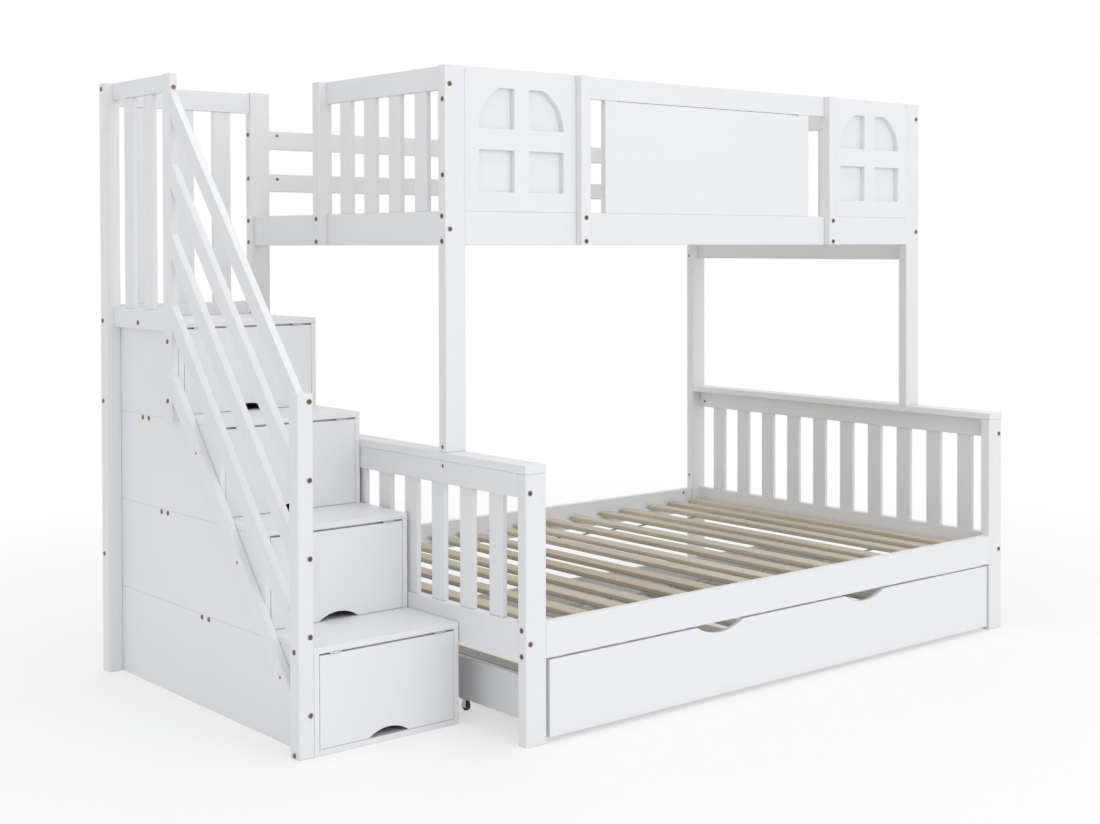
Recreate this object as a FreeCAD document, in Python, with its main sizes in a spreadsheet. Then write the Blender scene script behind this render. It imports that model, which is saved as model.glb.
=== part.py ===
"""Bunk bed with storage stairs: a twin bunk over a full bed, a stair of four stacked boxes
at its left end and a long trundle under the lower bed.

Sizes are in millimetres.  The bed is laid out from its own corner, the outer front left
foot: x runs along the bed, y to its rear and z up.  place() shifts that corner so that the
whole object stands centred over the origin.
"""
import FreeCAD, Part
import Sketcher
import os
import re

SIZES = {
    # lower (full) bed
    "bed_length": 2010, "bed_width": 1460, "post_height": 1771,
    "post_w": 66, "post_d": 34, "front_post_h": 700,
    "cap_thick": 22, "cap_over": 2,
    "head_rail_t": 28, "head_top_h": 62, "head_foot_z": 220, "head_foot_h": 96,
    "head_slat_w": 60, "head_slat_t": 14, "head_slats": 10,
    "side_rail_h": 94, "lower_rail_t": 28,
    "ledger_h": 30, "ledger_t": 24, "ledger_inset": 14,
    "slat_w": 56, "slat_t": 14.5, "slat_end_gap": 1, "lower_slat_in": 43.25,
    "lower_slats": 16, "upper_slats": 15, "lower_slat_up": 37.5, "upper_slat_up": 39.5,
    "upper_slat_in": 98,
    # how far each loose slat of the lower bed lies from its even place
    "drift_1": 9, "drift_2": 4, "drift_3": 8, "drift_4": 19, "drift_5": -3, "drift_6": 11,
    "drift_7": 4, "drift_8": 25, "drift_9": 5, "drift_10": 16, "drift_11": 19,
    "drift_12": 36, "drift_13": 15, "drift_14": 33, "drift_15": 18, "drift_16": 7,
    "strap_w": 18, "strap_t": 1.2, "lower_strap_in": 255, "upper_strap_in": 230,
    # upper (twin) bunk
    "bunk_front": 350, "bunk_z": 1283, "bunk_rail_h": 93, "bunk_rail_t": 25,
    "end_inset": 9.5, "end_rail_t": 28, "guard_t": 19, "guard_h": 65, "guard_drop": 1,
    "end_slats_left": 4, "end_slats_right": 7, "access_y": 977, "access_w": 43.5,
    "access_d": 39, "access_proud": 26,
    "panel_w": 391, "panel_t": 18, "panel_back_t": 8, "panel_corner_r": 25,
    "pane_w": 123, "pane_low_h": 116, "pane_high_h": 113, "pane_foot": 54,
    "pane_gap_z": 59, "pane_gap_x": 53,
    "stub_w": 35, "stub_d": 43.5, "stub_proud": 24.5, "rear_rail_set": 4,
    "opening_w": 76, "board_t": 20, "board_ear": 45, "board_groove": 3,
    "rear_guard_hi_drop": 179, "rear_guard_hi_h": 59, "rear_guard_lo_up": 80,
    "rear_guard_lo_h": 57, "bearer_h": 53,
    # trundle
    "trundle_side_gap": 11, "trundle_floor_gap": 13, "trundle_front_h": 202,
    "trundle_board_t": 16, "trundle_depth": 1010, "trundle_side_z": 33,
    "trundle_side_h": 116, "trundle_side_in": 3, "trundle_ledger": 20,
    "trundle_slats": 14, "grip_w": 180, "grip_d": 25, "grip_off": 310,
    "wheel_r": 14, "wheel_w": 11, "wheel_bevel": 1, "wheel_fit": 0.05,
    "axle_r": 2.5, "fork_plate": 1.6,
    "cheek_lap": 2, "fork_len": 40, "wheel_front_y": 384, "wheel_rear_y": 900,
    # stair tower of four boxes
    "tower_reach": 487, "tower_gap": 2, "tower_w": 441, "tower_front": 292, "tread_run": 245,
    "first_rise": 258, "rise": 264, "tower_side_t": 15, "shelf_t": 16, "tower_back_t": 9,
    "door_t": 15, "door_gap": 1, "door_top_gap": 5, "door_grip_w": 122, "door_grip_d": 20,
    "hinge_w": 34, "hinge_in": 30, "hinge_leaf_t": 1.2, "hinge_leaf_d": 13,
    "knuckle_r": 2.3, "knuckle_end": 9, "knuckle_gap": 0.3, "pin_r": 1, "pin_fit": 0.05,
    # stair posts, handrails and guards
    "corner_post": 44, "newel_h": 915, "rail_layer": 22,
    "mid_post_y": 1031, "mid_post_d": 50, "mid_post_z": 786,
    "bars": 5, "bar_h": 72, "bar_slope": 1.155, "bar_step": 200, "bar_low_z": 41,
    "side_guard_drop": 2, "side_guard_h": 50, "side_foot_z": 1040, "side_foot_h": 58,
    "side_slat_w": 57, "side_slat_t": 15, "side_slats": 2,
    "rear_rail_t": 20, "rear_rail_in": 6, "rear_top_drop": 4, "rear_top_h": 63,
    "rear_foot_h": 40, "rear_slat_w": 60, "rear_slat_t": 14, "rear_slats": 3,
    # cross bolts and cross dowels
    "bolt_r": 3, "bolt_fit": 0.3, "head_r": 6.8, "head_h": 1.8, "head_bevel": 0.5,
    "hex_w": 5, "hex_deep": 1.2, "dowel_r": 5, "dowel_len": 6, "dowel_in": 30,
    "low_dowel_in": 45, "foot_nut_len": 20, "foot_nut_in": 14.5, "foot_stud_len": 72,
    "bolt_len_short": 34, "bolt_len_panel": 48, "bolt_len_mid": 82, "bolt_len_long": 110,
    "hole_past": 1, "screw_r": 2, "screw_len": 34, "screw_head_r": 3.6, "screw_head_h": 1.2,
    # where the bolts go, each from the nearest edge or end of the piece it holds
    "axis_set": 1, "rail_bolt_low": 12, "rail_bolt_high": 79, "bunk_bolt_low": 11,
    "bunk_bolt_high": 79, "head_bolt_low": 45, "head_bolt_drop": 49,
    "guard_hi_bolt": 45, "guard_lo_bolt": 41, "end_guard_bolt": 14, "bunk_end_bolt": 44,
    "bunk_face_axis": 15,
    "bunk_rail_axis": 16, "panel_axis": 12, "panel_bolt_up": 190, "panel_bolt_drop": 27,
    "screw_in_first": 565, "screw_in_second": 569, "screw_in_third": 445, "screw_pair": 40,
    "corner_bolt_drop": 17, "corner_bolt_mid": 30, "corner_bolt_low": 97,
    "newel_bolt_low": 9, "newel_bolt_up": 10, "bar_bolt_low": 108, "bar_bolt_step": 196.5,
    "mid_bolt_drop": 39, "mid_bolt_up": 56, "side_bolt_up": 12, "foot_screw_in": 217,
    "stringer_screw_low": 89, "stringer_screw_mid": 315, "stringer_screw_high": 548,
}

doc = FreeCAD.newDocument("bunk_bed")
sheet = doc.addObject("Spreadsheet::Sheet", "dims")
for row, (alias, value) in enumerate(SIZES.items(), 1):
    sheet.set(f"A{row}", alias)
    sheet.set(f"B{row}", str(value))
    sheet.setAlias(f"B{row}", alias)
doc.recompute()

# The object's middle, seen from the bed's corner.
MID_X = "(bed_length - tower_reach) / 2"
MID_Y = "(bed_width - head_h) / 2"

# Levels that more than one piece keeps to.
BUNK_TOP = "(bunk_z + bunk_rail_h)"
POST_TOP = "post_height"
GUARD_TOP = "(post_height - guard_drop)"
GUARD_Z = "(post_height - guard_drop - guard_h)"
REAR_HI_Z = "(post_height - rear_guard_hi_drop)"
REAR_LO_Z = f"({BUNK_TOP} + rear_guard_lo_up)"
SIDE_GUARD_Z = "(post_height - side_guard_drop - side_guard_h)"
STAIR_TOP_Z = "(post_height - rear_top_drop - rear_top_h)"
LOW_SLAT_Z = "(head_foot_z + lower_slat_up)"
HIGH_SLAT_Z = "(bunk_z + upper_slat_up)"

AXIS_TURN = {
    "+X": FreeCAD.Rotation(FreeCAD.Vector(0, 1, 0), 90),
    "-X": FreeCAD.Rotation(FreeCAD.Vector(0, 1, 0), -90),
    "+Y": FreeCAD.Rotation(FreeCAD.Vector(1, 0, 0), -90),
    "-Y": FreeCAD.Rotation(FreeCAD.Vector(1, 0, 0), 90),
    "+Z": FreeCAD.Rotation(),
}
NODES = []


def cells(text):
    """An expression with every size name pointed at its cell."""
    return re.sub(r"[a-z]\w*", lambda word: "dims." + word.group(0), str(text))


def size(alias):
    """The present value of one size."""
    return float(sheet.get(alias))


def place(part, x, y, z, shift=True):
    """Bind a piece's corner to a point measured from the bed's corner."""
    across = f"({x}) - ({MID_X})" if shift else x
    along = f"({y}) - ({MID_Y})" if shift else y
    part.setExpression("Placement.Base.x", cells(across))
    part.setExpression("Placement.Base.y", cells(along))
    part.setExpression("Placement.Base.z", cells(z))
    return part


def box(name, x, y, z, dx, dy, dz):
    """A square-cut board from its lowest corner and its three sizes."""
    part = doc.addObject("Part::Box", name)
    part.setExpression("Length", cells(dx))
    part.setExpression("Width", cells(dy))
    part.setExpression("Height", cells(dz))
    return place(part, x, y, z)


def rod(name, x, y, z, axis, radius, length):
    """A round piece that starts at a point and runs along an axis."""
    part = doc.addObject("Part::Cylinder", name)
    part.setExpression("Radius", cells(radius))
    part.setExpression("Height", cells(length))
    part.Placement.Rotation = AXIS_TURN[axis]
    return place(part, x, y, z)


def both_ends(name, x, y, z, dx, dy, dz):
    """A board at the left end and its mirror image at the right end."""
    far_x = f"bed_length - ({x}) - ({dx})"
    return [box(name + "_l", x, y, z, dx, dy, dz), box(name + "_r", far_x, y, z, dx, dy, dz)]


def cut(name, base, tools):
    """A piece less its tools."""
    part = doc.addObject("Part::Cut", name)
    part.Base = base
    if len(tools) == 1:
        part.Tool = tools[0]
    else:
        part.Tool = compound(name + "_tools", tools)
    return part


def fuse(name, pieces):
    part = doc.addObject("Part::MultiFuse", name)
    part.Shapes = pieces
    part.Refine = True
    return part


def compound(name, pieces):
    part = doc.addObject("Part::Compound", name)
    part.Links = pieces
    return part


def node(name, pieces, drills=None):
    """Close one named sub-part: its loose pieces side by side, less the holes through them."""
    if drills:
        part = cut(name, compound(name + "_set", pieces), drills)
    elif len(pieces) == 1:
        part = pieces[0]
    else:
        part = compound(name, pieces)
    part.Label = name
    NODES.append(part)
    return part


def spread(name, count, start, span, width, make):
    """Equal pieces with equal gaps between them and at both ends of a span."""
    gap = f"(({span}) - ({count}) * ({width})) / (({count}) + 1)"
    pieces = []
    for i in range(int(size(count))):
        at = f"({start}) + ({gap}) * {i + 1} + ({width}) * {i}"
        pieces.append(make(f"{name}_{i + 1}", at))
    return pieces


# ---------------------------------------------------------------- cross bolts
# One furniture bolt: a plain shank under a low bevelled head with a hexagon socket.  Its
# origin is the seat of the head and the shank runs along +Z.  All others are copies of it.
head = rod("bolt_head", "0", "0", "0", "+Z", "head_r", "head_h - head_bevel")
crown = doc.addObject("Part::Cone", "bolt_crown")
crown.setExpression("Radius1", cells("head_r - head_bevel"))
crown.setExpression("Radius2", cells("head_r"))
crown.setExpression("Height", cells("head_bevel"))
hexagon = doc.addObject("Part::Prism", "bolt_socket")
hexagon.Polygon = 6
hexagon.setExpression("Circumradius", cells("hex_w") + " / 1.732")
hexagon.setExpression("Height", cells("hex_deep"))
place(head, "0", "0", "head_bevel - head_h", shift=False)
place(crown, "0", "0", "0 - head_h", shift=False)
place(hexagon, "0", "0", "0 - head_h", shift=False)

DRILL_MASTERS = {}
BOLT_MASTERS = {}
for kind in ("short", "panel", "mid", "long"):
    alias = "bolt_len_" + kind
    shank = doc.addObject("Part::Cylinder", "bolt_shank_" + kind)
    shank.setExpression("Radius", cells("bolt_r"))
    shank.setExpression("Height", cells(alias))
    body = fuse("bolt_body_" + kind, [head, crown, shank])
    BOLT_MASTERS[kind] = cut("bolt_master_" + kind, body, [hexagon])
    drill = doc.addObject("Part::Cylinder", "drill_master_" + kind)
    drill.setExpression("Radius", cells("bolt_r + bolt_fit"))
    drill.setExpression("Height", cells(f"{alias} + hole_past"))
    DRILL_MASTERS[kind] = drill

# The small round-head screw that holds the stringer, and its hole.
small_head = rod("screw_head", "0", "0", "0", "+Z", "screw_head_r", "screw_head_h")
place(small_head, "0", "0", "0 - screw_head_h", shift=False)
small_shank = doc.addObject("Part::Cylinder", "screw_shank")
small_shank.setExpression("Radius", cells("screw_r"))
small_shank.setExpression("Height", cells("screw_len"))
BOLT_MASTERS["screw"] = fuse("screw_master", [small_head, small_shank])
small_hole = doc.addObject("Part::Cylinder", "screw_hole_master")
small_hole.setExpression("Radius", cells("screw_r + bolt_fit"))
small_hole.setExpression("Height", cells("screw_len + hole_past"))
DRILL_MASTERS["screw"] = small_hole

BOLTS = {}
DRILLS = {}


def bolt(group, kind, x, y, z, axis):
    """A bolt whose head sits at a point and whose shank runs along an axis, and its hole."""
    number = len(BOLTS.setdefault(group, [])) + 1
    for store, master, word in ((BOLTS, BOLT_MASTERS, "bolt"), (DRILLS, DRILL_MASTERS, "hole")):
        link = doc.addObject("App::Link", f"{word}_{group}_{number}")
        link.LinkedObject = master[kind]
        link.Placement = FreeCAD.Placement(FreeCAD.Vector(), AXIS_TURN[axis])
        place(link, x, y, z)
        store.setdefault(group, []).append(link)


def end_bolts(group, kind, x, y, z):
    """A bolt driven inwards through the left end and its mirror image at the right end."""
    bolt(group, kind, x, y, z, "+X")
    bolt(group, kind, f"bed_length - ({x})", y, z, "-X")


def face_bolts(group, kind, x, y, z):
    """A bolt driven backwards near the left end and its mirror image near the right end."""
    bolt(group, kind, x, y, z, "+Y")
    bolt(group, kind, f"bed_length - ({x})", y, z, "+Y")


REAR_FACE = "bed_width - lower_rail_t"
REAR_AXIS = "bed_width - post_d / 2 + axis_set"
RAIL_BOLT_Z = ("head_foot_z + rail_bolt_low", "head_foot_z + rail_bolt_high")
BUNK_BOLT_Z = ("bunk_z + bunk_bolt_low", "bunk_z + bunk_bolt_high")
GUARD_BOLT_Z = (f"{REAR_HI_Z} + guard_hi_bolt", f"{REAR_LO_Z} + guard_lo_bolt")
for level in RAIL_BOLT_Z:
    end_bolts("lower", "long", "0", "post_d / 2 + axis_set", level)
    end_bolts("lower", "long", "0", REAR_AXIS, level)
for level in ("head_foot_z + head_bolt_low", "front_post_h - head_bolt_drop"):
    face_bolts("lower", "mid", "head_rail_t / 2", "0", level)
for level in BUNK_BOLT_Z:
    end_bolts("upper", "long", "0", "bunk_front + bunk_rail_axis", level)
    end_bolts("rear", "long", "0", REAR_AXIS, level)
for level in GUARD_BOLT_Z:
    end_bolts("rear", "long", "0", REAR_AXIS, level)
for level in ("bunk_z + panel_bolt_up", f"{GUARD_Z} - panel_bolt_drop"):
    end_bolts("upper", "mid", "0", "bunk_front + panel_axis", level)
for level in (f"{GUARD_Z} + end_guard_bolt", "bunk_z + bunk_end_bolt"):
    face_bolts("upper", "mid", "bunk_face_axis", "bunk_front", level)

STUB_X = "post_w + panel_w"
for level in BUNK_BOLT_Z:
    face_bolts("stub", "panel", f"{STUB_X} + stub_w / 2", "bunk_front - stub_proud", level)
    bolt("stub", "panel", "end_inset - access_proud", "access_y + access_d / 2", level, "+X")

# ---------------------------------------------------------------- lower bed
INNER_LEN = "bed_length - 2 * post_w"
INNER_DEEP = "bed_width - 2 * post_d"

# Four corner posts.  The rear ones run full height and carry the upper bunk as well.
node("front_posts", both_ends("front_post", "0", "0", "0", "post_w", "post_d", "front_post_h"),
     DRILLS["lower"])
node("rear_posts",
     both_ends("rear_post", "0", "bed_width - post_d", "0", "post_w", "post_d", POST_TOP),
     DRILLS["lower"] + DRILLS["rear"])

# The bunk posts stand on the caps.  Under each a steel stud runs down through the cap into
# the top rail, with a cross nut on it in the post's foot and another in the rail.
BUNK_FLOOR = "front_post_h + cap_thick"
FOOT_Y = "bunk_front + post_d / 2"


def foot_nuts(name, radius):
    """The four cross nuts, or their sockets, driven in from the outer faces."""
    pieces = []
    for i, level in enumerate(("front_post_h - foot_nut_in", f"{BUNK_FLOOR} + foot_nut_in")):
        pieces.append(rod(f"{name}_{i}l", "0", FOOT_Y, level, "+X", radius, "foot_nut_len"))
        pieces.append(rod(f"{name}_{i}r", "bed_length", FOOT_Y, level, "-X", radius,
                          "foot_nut_len"))
    return pieces


def foot_studs(name, radius):
    """The two upright studs, or the holes that they bottom in."""
    low = "front_post_h + cap_thick / 2 - foot_stud_len / 2"
    return [rod(f"{name}_{side}", x, FOOT_Y, low, "+Z", radius, "foot_stud_len")
            for side, x in (("l", "head_rail_t / 2"), ("r", "bed_length - head_rail_t / 2"))]


FOOT_HOLES = foot_studs("foot_hole", "bolt_r + bolt_fit")
FOOT_SOCKETS = foot_nuts("foot_socket", "dowel_r + bolt_fit")

# A cap board lies on each end of the lower bed and laps over the faces by cap_over.
node("end_caps", both_ends("cap", "0 - cap_over", "0 - cap_over", "front_post_h",
                           "post_w + cap_over", "bed_width - post_d + cap_over", "cap_thick"),
     FOOT_HOLES)

# Head and foot ends: a top rail, a bottom rail and ten upright slats let in between them.
HEAD_TOP_Z = "front_post_h - head_top_h"
HEAD_FOOT_TOP = "head_foot_z + head_foot_h"
node("end_rails_lower",
     both_ends("head_top", "0", "post_d", HEAD_TOP_Z, "head_rail_t", INNER_DEEP, "head_top_h")
     + both_ends("head_foot", "0", "post_d", "head_foot_z", "head_rail_t", INNER_DEEP,
                 "head_foot_h"),
     DRILLS["lower"] + FOOT_SOCKETS + FOOT_HOLES)
head_slats = spread(
    "head_slat", "head_slats", "post_d", INNER_DEEP, "head_slat_w",
    lambda name, at: compound(name, both_ends(
        name + "_pair", "(head_rail_t - head_slat_t) / 2", at, HEAD_FOOT_TOP,
        "head_slat_t", "head_slat_w", f"{HEAD_TOP_Z} - ({HEAD_FOOT_TOP})")))
node("end_slats_lower", head_slats)


def dowels(name, y, levels, far_in="dowel_in"):
    """Cross dowels let into a rail's inner face over the tips of the long bolts."""
    pieces = []
    for i, level in enumerate(levels):
        for side, x in (("l", f"post_w + {far_in}"), ("r", f"bed_length - post_w - {far_in}")):
            pieces.append(rod(f"{name}_{i}{side}", x, y, level, "+Y", "dowel_r", "dowel_len"))
    return pieces


def sockets(name, y, levels, far_in="dowel_in"):
    """The blind holes for those cross dowels, a little wider than the dowels."""
    pieces = dowels(name, y, levels, far_in)
    for piece in pieces:
        piece.setExpression("Radius", cells("dowel_r + bolt_fit"))
    return pieces


LOW_DOWELS = (REAR_FACE, RAIL_BOLT_Z, "low_dowel_in")
UPPER_REAR_Y = "bed_width - post_d + rear_rail_set"
node("side_rails_lower",
     [box("rail_front", "post_w", "0", "head_foot_z", INNER_LEN, "lower_rail_t",
          "side_rail_h"),
      box("rail_rear", "post_w", REAR_FACE, "head_foot_z", INNER_LEN, "lower_rail_t",
          "side_rail_h")],
     DRILLS["lower"] + sockets("low_socket", *LOW_DOWELS))

# Battens inside the side rails carry the bed slats.
LEDGER_LEN = "bed_length - 2 * post_w - 2 * ledger_inset"
node("ledgers_lower",
     [box("ledger_front", "post_w + ledger_inset", "lower_rail_t",
          f"{LOW_SLAT_Z} - ledger_h", LEDGER_LEN, "ledger_t", "ledger_h"),
      box("ledger_rear", "post_w + ledger_inset", f"{REAR_FACE} - ledger_t",
          f"{LOW_SLAT_Z} - ledger_h", LEDGER_LEN, "ledger_t", "ledger_h")])


DRIFTS = [alias for alias in SIZES if alias.startswith("drift_")]


def bed_slats(name, count, end_in, y, length, z, drifts=("0",)):
    """A row of cross slats from end to end of the bed, each off its even place by a drift."""
    pitch = f"((bed_length - 2 * {end_in} - slat_w) / ({count} - 1))"
    return [box(f"{name}_{i + 1}", f"{end_in} + {pitch} * {i} + {drifts[i % len(drifts)]}", y,
                z, "slat_w", length, "slat_t") for i in range(int(size(count)))]


def straps(name, end_in, front_y, rear_y, z):
    """Two fabric straps under a row of slats, as long as the row laid evenly."""
    run = f"bed_length - 2 * {end_in}"
    return [box(f"{name}_{side}", end_in, y, f"{z} - strap_t", run, "strap_w", "strap_t")
            for side, y in (("front", front_y), ("rear", rear_y))]


node("slats_lower",
     bed_slats("slat_low", "lower_slats", "lower_slat_in", "post_d + slat_end_gap",
               f"{INNER_DEEP} - 2 * slat_end_gap", LOW_SLAT_Z, DRIFTS))
low_straps = straps("strap_low", "lower_slat_in", "post_d + lower_strap_in",
                    "bed_width - post_d - lower_strap_in - strap_w", LOW_SLAT_Z)

# ---------------------------------------------------------------- upper bunk
BUNK_DEEP = "bed_width - bunk_front - 2 * post_d"
BUNK_IN = "bunk_front + post_d"
node("bunk_posts",
     both_ends("bunk_post", "0", "bunk_front", BUNK_FLOOR, "post_w", "post_d",
               f"{POST_TOP} - ({BUNK_FLOOR})"),
     DRILLS["upper"] + FOOT_SOCKETS + FOOT_HOLES)
node("end_rails_upper",
     both_ends("bunk_end", "end_inset", BUNK_IN, "bunk_z", "end_rail_t", BUNK_DEEP,
               "bunk_rail_h"),
     DRILLS["upper"] + DRILLS["stub"])
node("side_rails_upper",
     [box("bunk_front_rail", "post_w", "bunk_front", "bunk_z", INNER_LEN, "bunk_rail_t",
          "bunk_rail_h"),
      box("bunk_rear_rail", "post_w", UPPER_REAR_Y, "bunk_z", INNER_LEN, "bunk_rail_t",
          "bunk_rail_h")],
     DRILLS["upper"] + DRILLS["rear"] + DRILLS["stub"]
     + sockets("bunk_socket", UPPER_REAR_Y, BUNK_BOLT_Z))
node("ledgers_upper",
     [box("bunk_ledger_front", "post_w + ledger_inset", "bunk_front + bunk_rail_t",
          f"{HIGH_SLAT_Z} - ledger_h", LEDGER_LEN, "ledger_t", "ledger_h"),
      box("bunk_ledger_rear", "post_w + ledger_inset", f"{UPPER_REAR_Y} - ledger_t",
          f"{HIGH_SLAT_Z} - ledger_h", LEDGER_LEN, "ledger_t", "ledger_h")])
node("slats_upper",
     bed_slats("slat_up", "upper_slats", "upper_slat_in", f"{BUNK_IN} + slat_end_gap",
               f"{BUNK_DEEP} - 2 * slat_end_gap", HIGH_SLAT_Z))
high_straps = straps("strap_up", "upper_slat_in", f"{BUNK_IN} + upper_strap_in",
                     "bed_width - post_d - upper_strap_in - strap_w", HIGH_SLAT_Z)
node("slat_straps", low_straps + high_straps)

# A second board lies under the right end rail, flush with its faces.
node("cross_bearer",
     [box("bearer", "bed_length - end_inset - end_rail_t", BUNK_IN, "bunk_z - bearer_h",
          "end_rail_t", BUNK_DEEP, "bearer_h")])

# Rear guard: two plain rails between the rear posts.
node("rear_guard_rails",
     [box("guard_hi", "post_w", UPPER_REAR_Y, REAR_HI_Z, INNER_LEN, "bunk_rail_t",
          "rear_guard_hi_h"),
      box("guard_lo", "post_w", UPPER_REAR_Y, REAR_LO_Z, INNER_LEN, "bunk_rail_t",
          "rear_guard_lo_h")],
     DRILLS["rear"] + sockets("guard_socket", UPPER_REAR_Y, GUARD_BOLT_Z))

# End guards.  The left one stops short at a stub post and leaves the way in from the stairs.
LEFT_RUN = f"access_y - ({BUNK_IN})"
left_top = box("guard_left", "end_inset", BUNK_IN, GUARD_Z, "guard_t", LEFT_RUN, "guard_h")
right_top = box("guard_right", "bed_length - end_inset - guard_t", BUNK_IN, GUARD_Z,
                "guard_t", BUNK_DEEP, "guard_h")
node("end_guard_rails", [left_top, right_top], DRILLS["upper"])
SLAT_IN = "end_inset + (guard_t - head_slat_t) / 2"
GUARD_SPAN = f"{GUARD_Z} - {BUNK_TOP}"
left_slats = spread("slat_left", "end_slats_left", BUNK_IN, LEFT_RUN, "head_slat_w",
                    lambda name, at: box(name, SLAT_IN, at, BUNK_TOP, "head_slat_t",
                                         "head_slat_w", GUARD_SPAN))
right_slats = spread("slat_right", "end_slats_right", BUNK_IN, BUNK_DEEP, "head_slat_w",
                     lambda name, at: box(name, f"bed_length - ({SLAT_IN}) - head_slat_t",
                                          at, BUNK_TOP, "head_slat_t", "head_slat_w",
                                          GUARD_SPAN))
node("end_guard_slats", left_slats + right_slats)

# The stub posts are half-lapped over the rails they stand on.
access_block = box("access_block", "end_inset - access_proud", "access_y", "bunk_z",
                   "access_w", "access_d", f"{GUARD_TOP} - bunk_z")
access_lap = box("access_lap", "end_inset", "access_y", "bunk_z", "access_w", "access_d",
                 "bunk_rail_h")
node("access_post", [cut("access_shape", access_block, [access_lap])], DRILLS["stub"])


def stub_post(name, x):
    """A front stub post with the front rail housed in its back."""
    block = box(name + "_block", x, "bunk_front - stub_proud", "bunk_z", "stub_w", "stub_d",
                f"{POST_TOP} - bunk_z")
    lap = box(name + "_lap", x, "bunk_front", "bunk_z", "stub_w", "stub_d", "bunk_rail_h")
    return cut(name + "_shape", block, [lap])


STUB_FAR_X = f"bed_length - ({STUB_X}) - stub_w"
node("front_stub_posts", [stub_post("stub_l", STUB_X), stub_post("stub_r", STUB_FAR_X)],
     DRILLS["stub"])

# The front guard's middle: a top rail between the stub posts and a plain board hung under
# it, with an opening at both ends and a shadow groove between the two.
MIDDLE_X = f"{STUB_X} + stub_w"
BOARD_X = f"{MIDDLE_X} + opening_w"
BOARD_LEN = f"bed_length - 2 * ({BOARD_X})"
node("front_top_rail", [box("front_top", MIDDLE_X, "bunk_front", GUARD_Z,
                            f"bed_length - 2 * ({MIDDLE_X})", "guard_t", "guard_h")])
board_block = box("board_block", BOARD_X, "bunk_front", BUNK_TOP, BOARD_LEN, "board_t",
                  GUARD_SPAN)
board_groove = box("groove_cut", f"{BOARD_X} + board_ear", "bunk_front",
                   f"{GUARD_Z} - board_groove", f"{BOARD_LEN} - 2 * board_ear", "board_t",
                   "board_groove")
node("front_board", [cut("front_board_shape", board_block, [board_groove])])


def pane(name, x, z, high, centre_x=None):
    """The cutter of one window pane; an upper pane is trimmed to a quarter round."""
    tool = box(name, x, "bunk_front", z, "pane_w", "panel_t", high)
    if centre_x is None:
        return tool
    arch = rod(name + "_arch", centre_x, "bunk_front", z, "+Y", "pane_w", "panel_t")
    part = doc.addObject("Part::Common", name + "_round")
    part.Base = tool
    part.Tool = arch
    return part


def window(side, x):
    """A window panel: a board with four panes cut out, and the thin board behind it."""
    body = doc.addObject("PartDesign::Body", f"window_{side}")
    front_plane = [f for f in body.Origin.OriginFeatures if f.Role == "XZ_Plane"][0]
    sketch = body.newObject("Sketcher::SketchObject", f"window_outline_{side}")
    sketch.AttachmentSupport = [(front_plane, "")]
    sketch.MapMode = "FlatFace"
    wide = size("panel_w")
    high = size("post_height") - size("bunk_z") - size("bunk_rail_h")
    corners = [(0, 0), (wide, 0), (wide, high), (0, high)]
    for i, (ax, ay) in enumerate(corners):
        bx, by = corners[(i + 1) % 4]
        sketch.addGeometry(Part.LineSegment(FreeCAD.Vector(ax, ay, 0),
                                            FreeCAD.Vector(bx, by, 0)), False)
    for i in range(4):
        sketch.addConstraint(Sketcher.Constraint("Coincident", i, 2, (i + 1) % 4, 1))
    for line, kind in ((0, "Horizontal"), (1, "Vertical"), (2, "Horizontal"), (3, "Vertical")):
        sketch.addConstraint(Sketcher.Constraint(kind, line))
    sketch.addConstraint(Sketcher.Constraint("Coincident", 0, 1, -1, 1))
    wide_rule = sketch.addConstraint(Sketcher.Constraint("DistanceX", 0, 1, 0, 2, wide))
    high_rule = sketch.addConstraint(Sketcher.Constraint("DistanceY", 1, 1, 1, 2, high))
    sketch.setExpression(f"Constraints[{wide_rule}]", cells("panel_w"))
    sketch.setExpression(f"Constraints[{high_rule}]", cells(f"{POST_TOP} - {BUNK_TOP}"))
    pad = body.newObject("PartDesign::Pad", f"window_pad_{side}")
    pad.Profile = sketch
    pad.setExpression("Length", cells("panel_t + panel_back_t"))
    doc.recompute()
    upright = [f"Edge{i + 1}" for i, edge in enumerate(pad.Shape.Edges)
               if edge.BoundBox.ZMin > high - 1 and edge.BoundBox.XLength < 1]
    rounding = body.newObject("PartDesign::Fillet", f"window_corners_{side}")
    rounding.Base = (pad, upright)
    rounding.setExpression("Radius", cells("panel_corner_r"))
    place(body, x, "bunk_front + panel_t + panel_back_t", BUNK_TOP)
    first = f"({x}) + (panel_w - 2 * pane_w - pane_gap_x) / 2"
    second = f"{first} + pane_w + pane_gap_x"
    low = f"{BUNK_TOP} + pane_foot"
    upper = f"{low} + pane_low_h + pane_gap_z"
    cutters = [
        pane(f"pane_{side}_1", first, low, "pane_low_h"),
        pane(f"pane_{side}_2", second, low, "pane_low_h"),
        pane(f"pane_{side}_3", first, upper, "pane_high_h", f"{first} + pane_w"),
        pane(f"pane_{side}_4", second, upper, "pane_high_h", second),
    ]
    split = box(f"split_{side}", x, "bunk_front", BUNK_TOP, "panel_w", "panel_t",
                f"{POST_TOP} - {BUNK_TOP}")
    front = doc.addObject("Part::Common", f"window_front_{side}")
    front.Base = body
    front.Tool = split
    behind = cut(f"window_behind_{side}", body, [split])
    return cut(f"window_frame_{side}", front, cutters), behind


left_frame, left_back = window("left", "post_w")
right_frame, right_back = window("right", "bed_length - post_w - panel_w")
node("window_frames", [left_frame, right_frame], DRILLS["upper"])
node("window_backs", [left_back, right_back])

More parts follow.
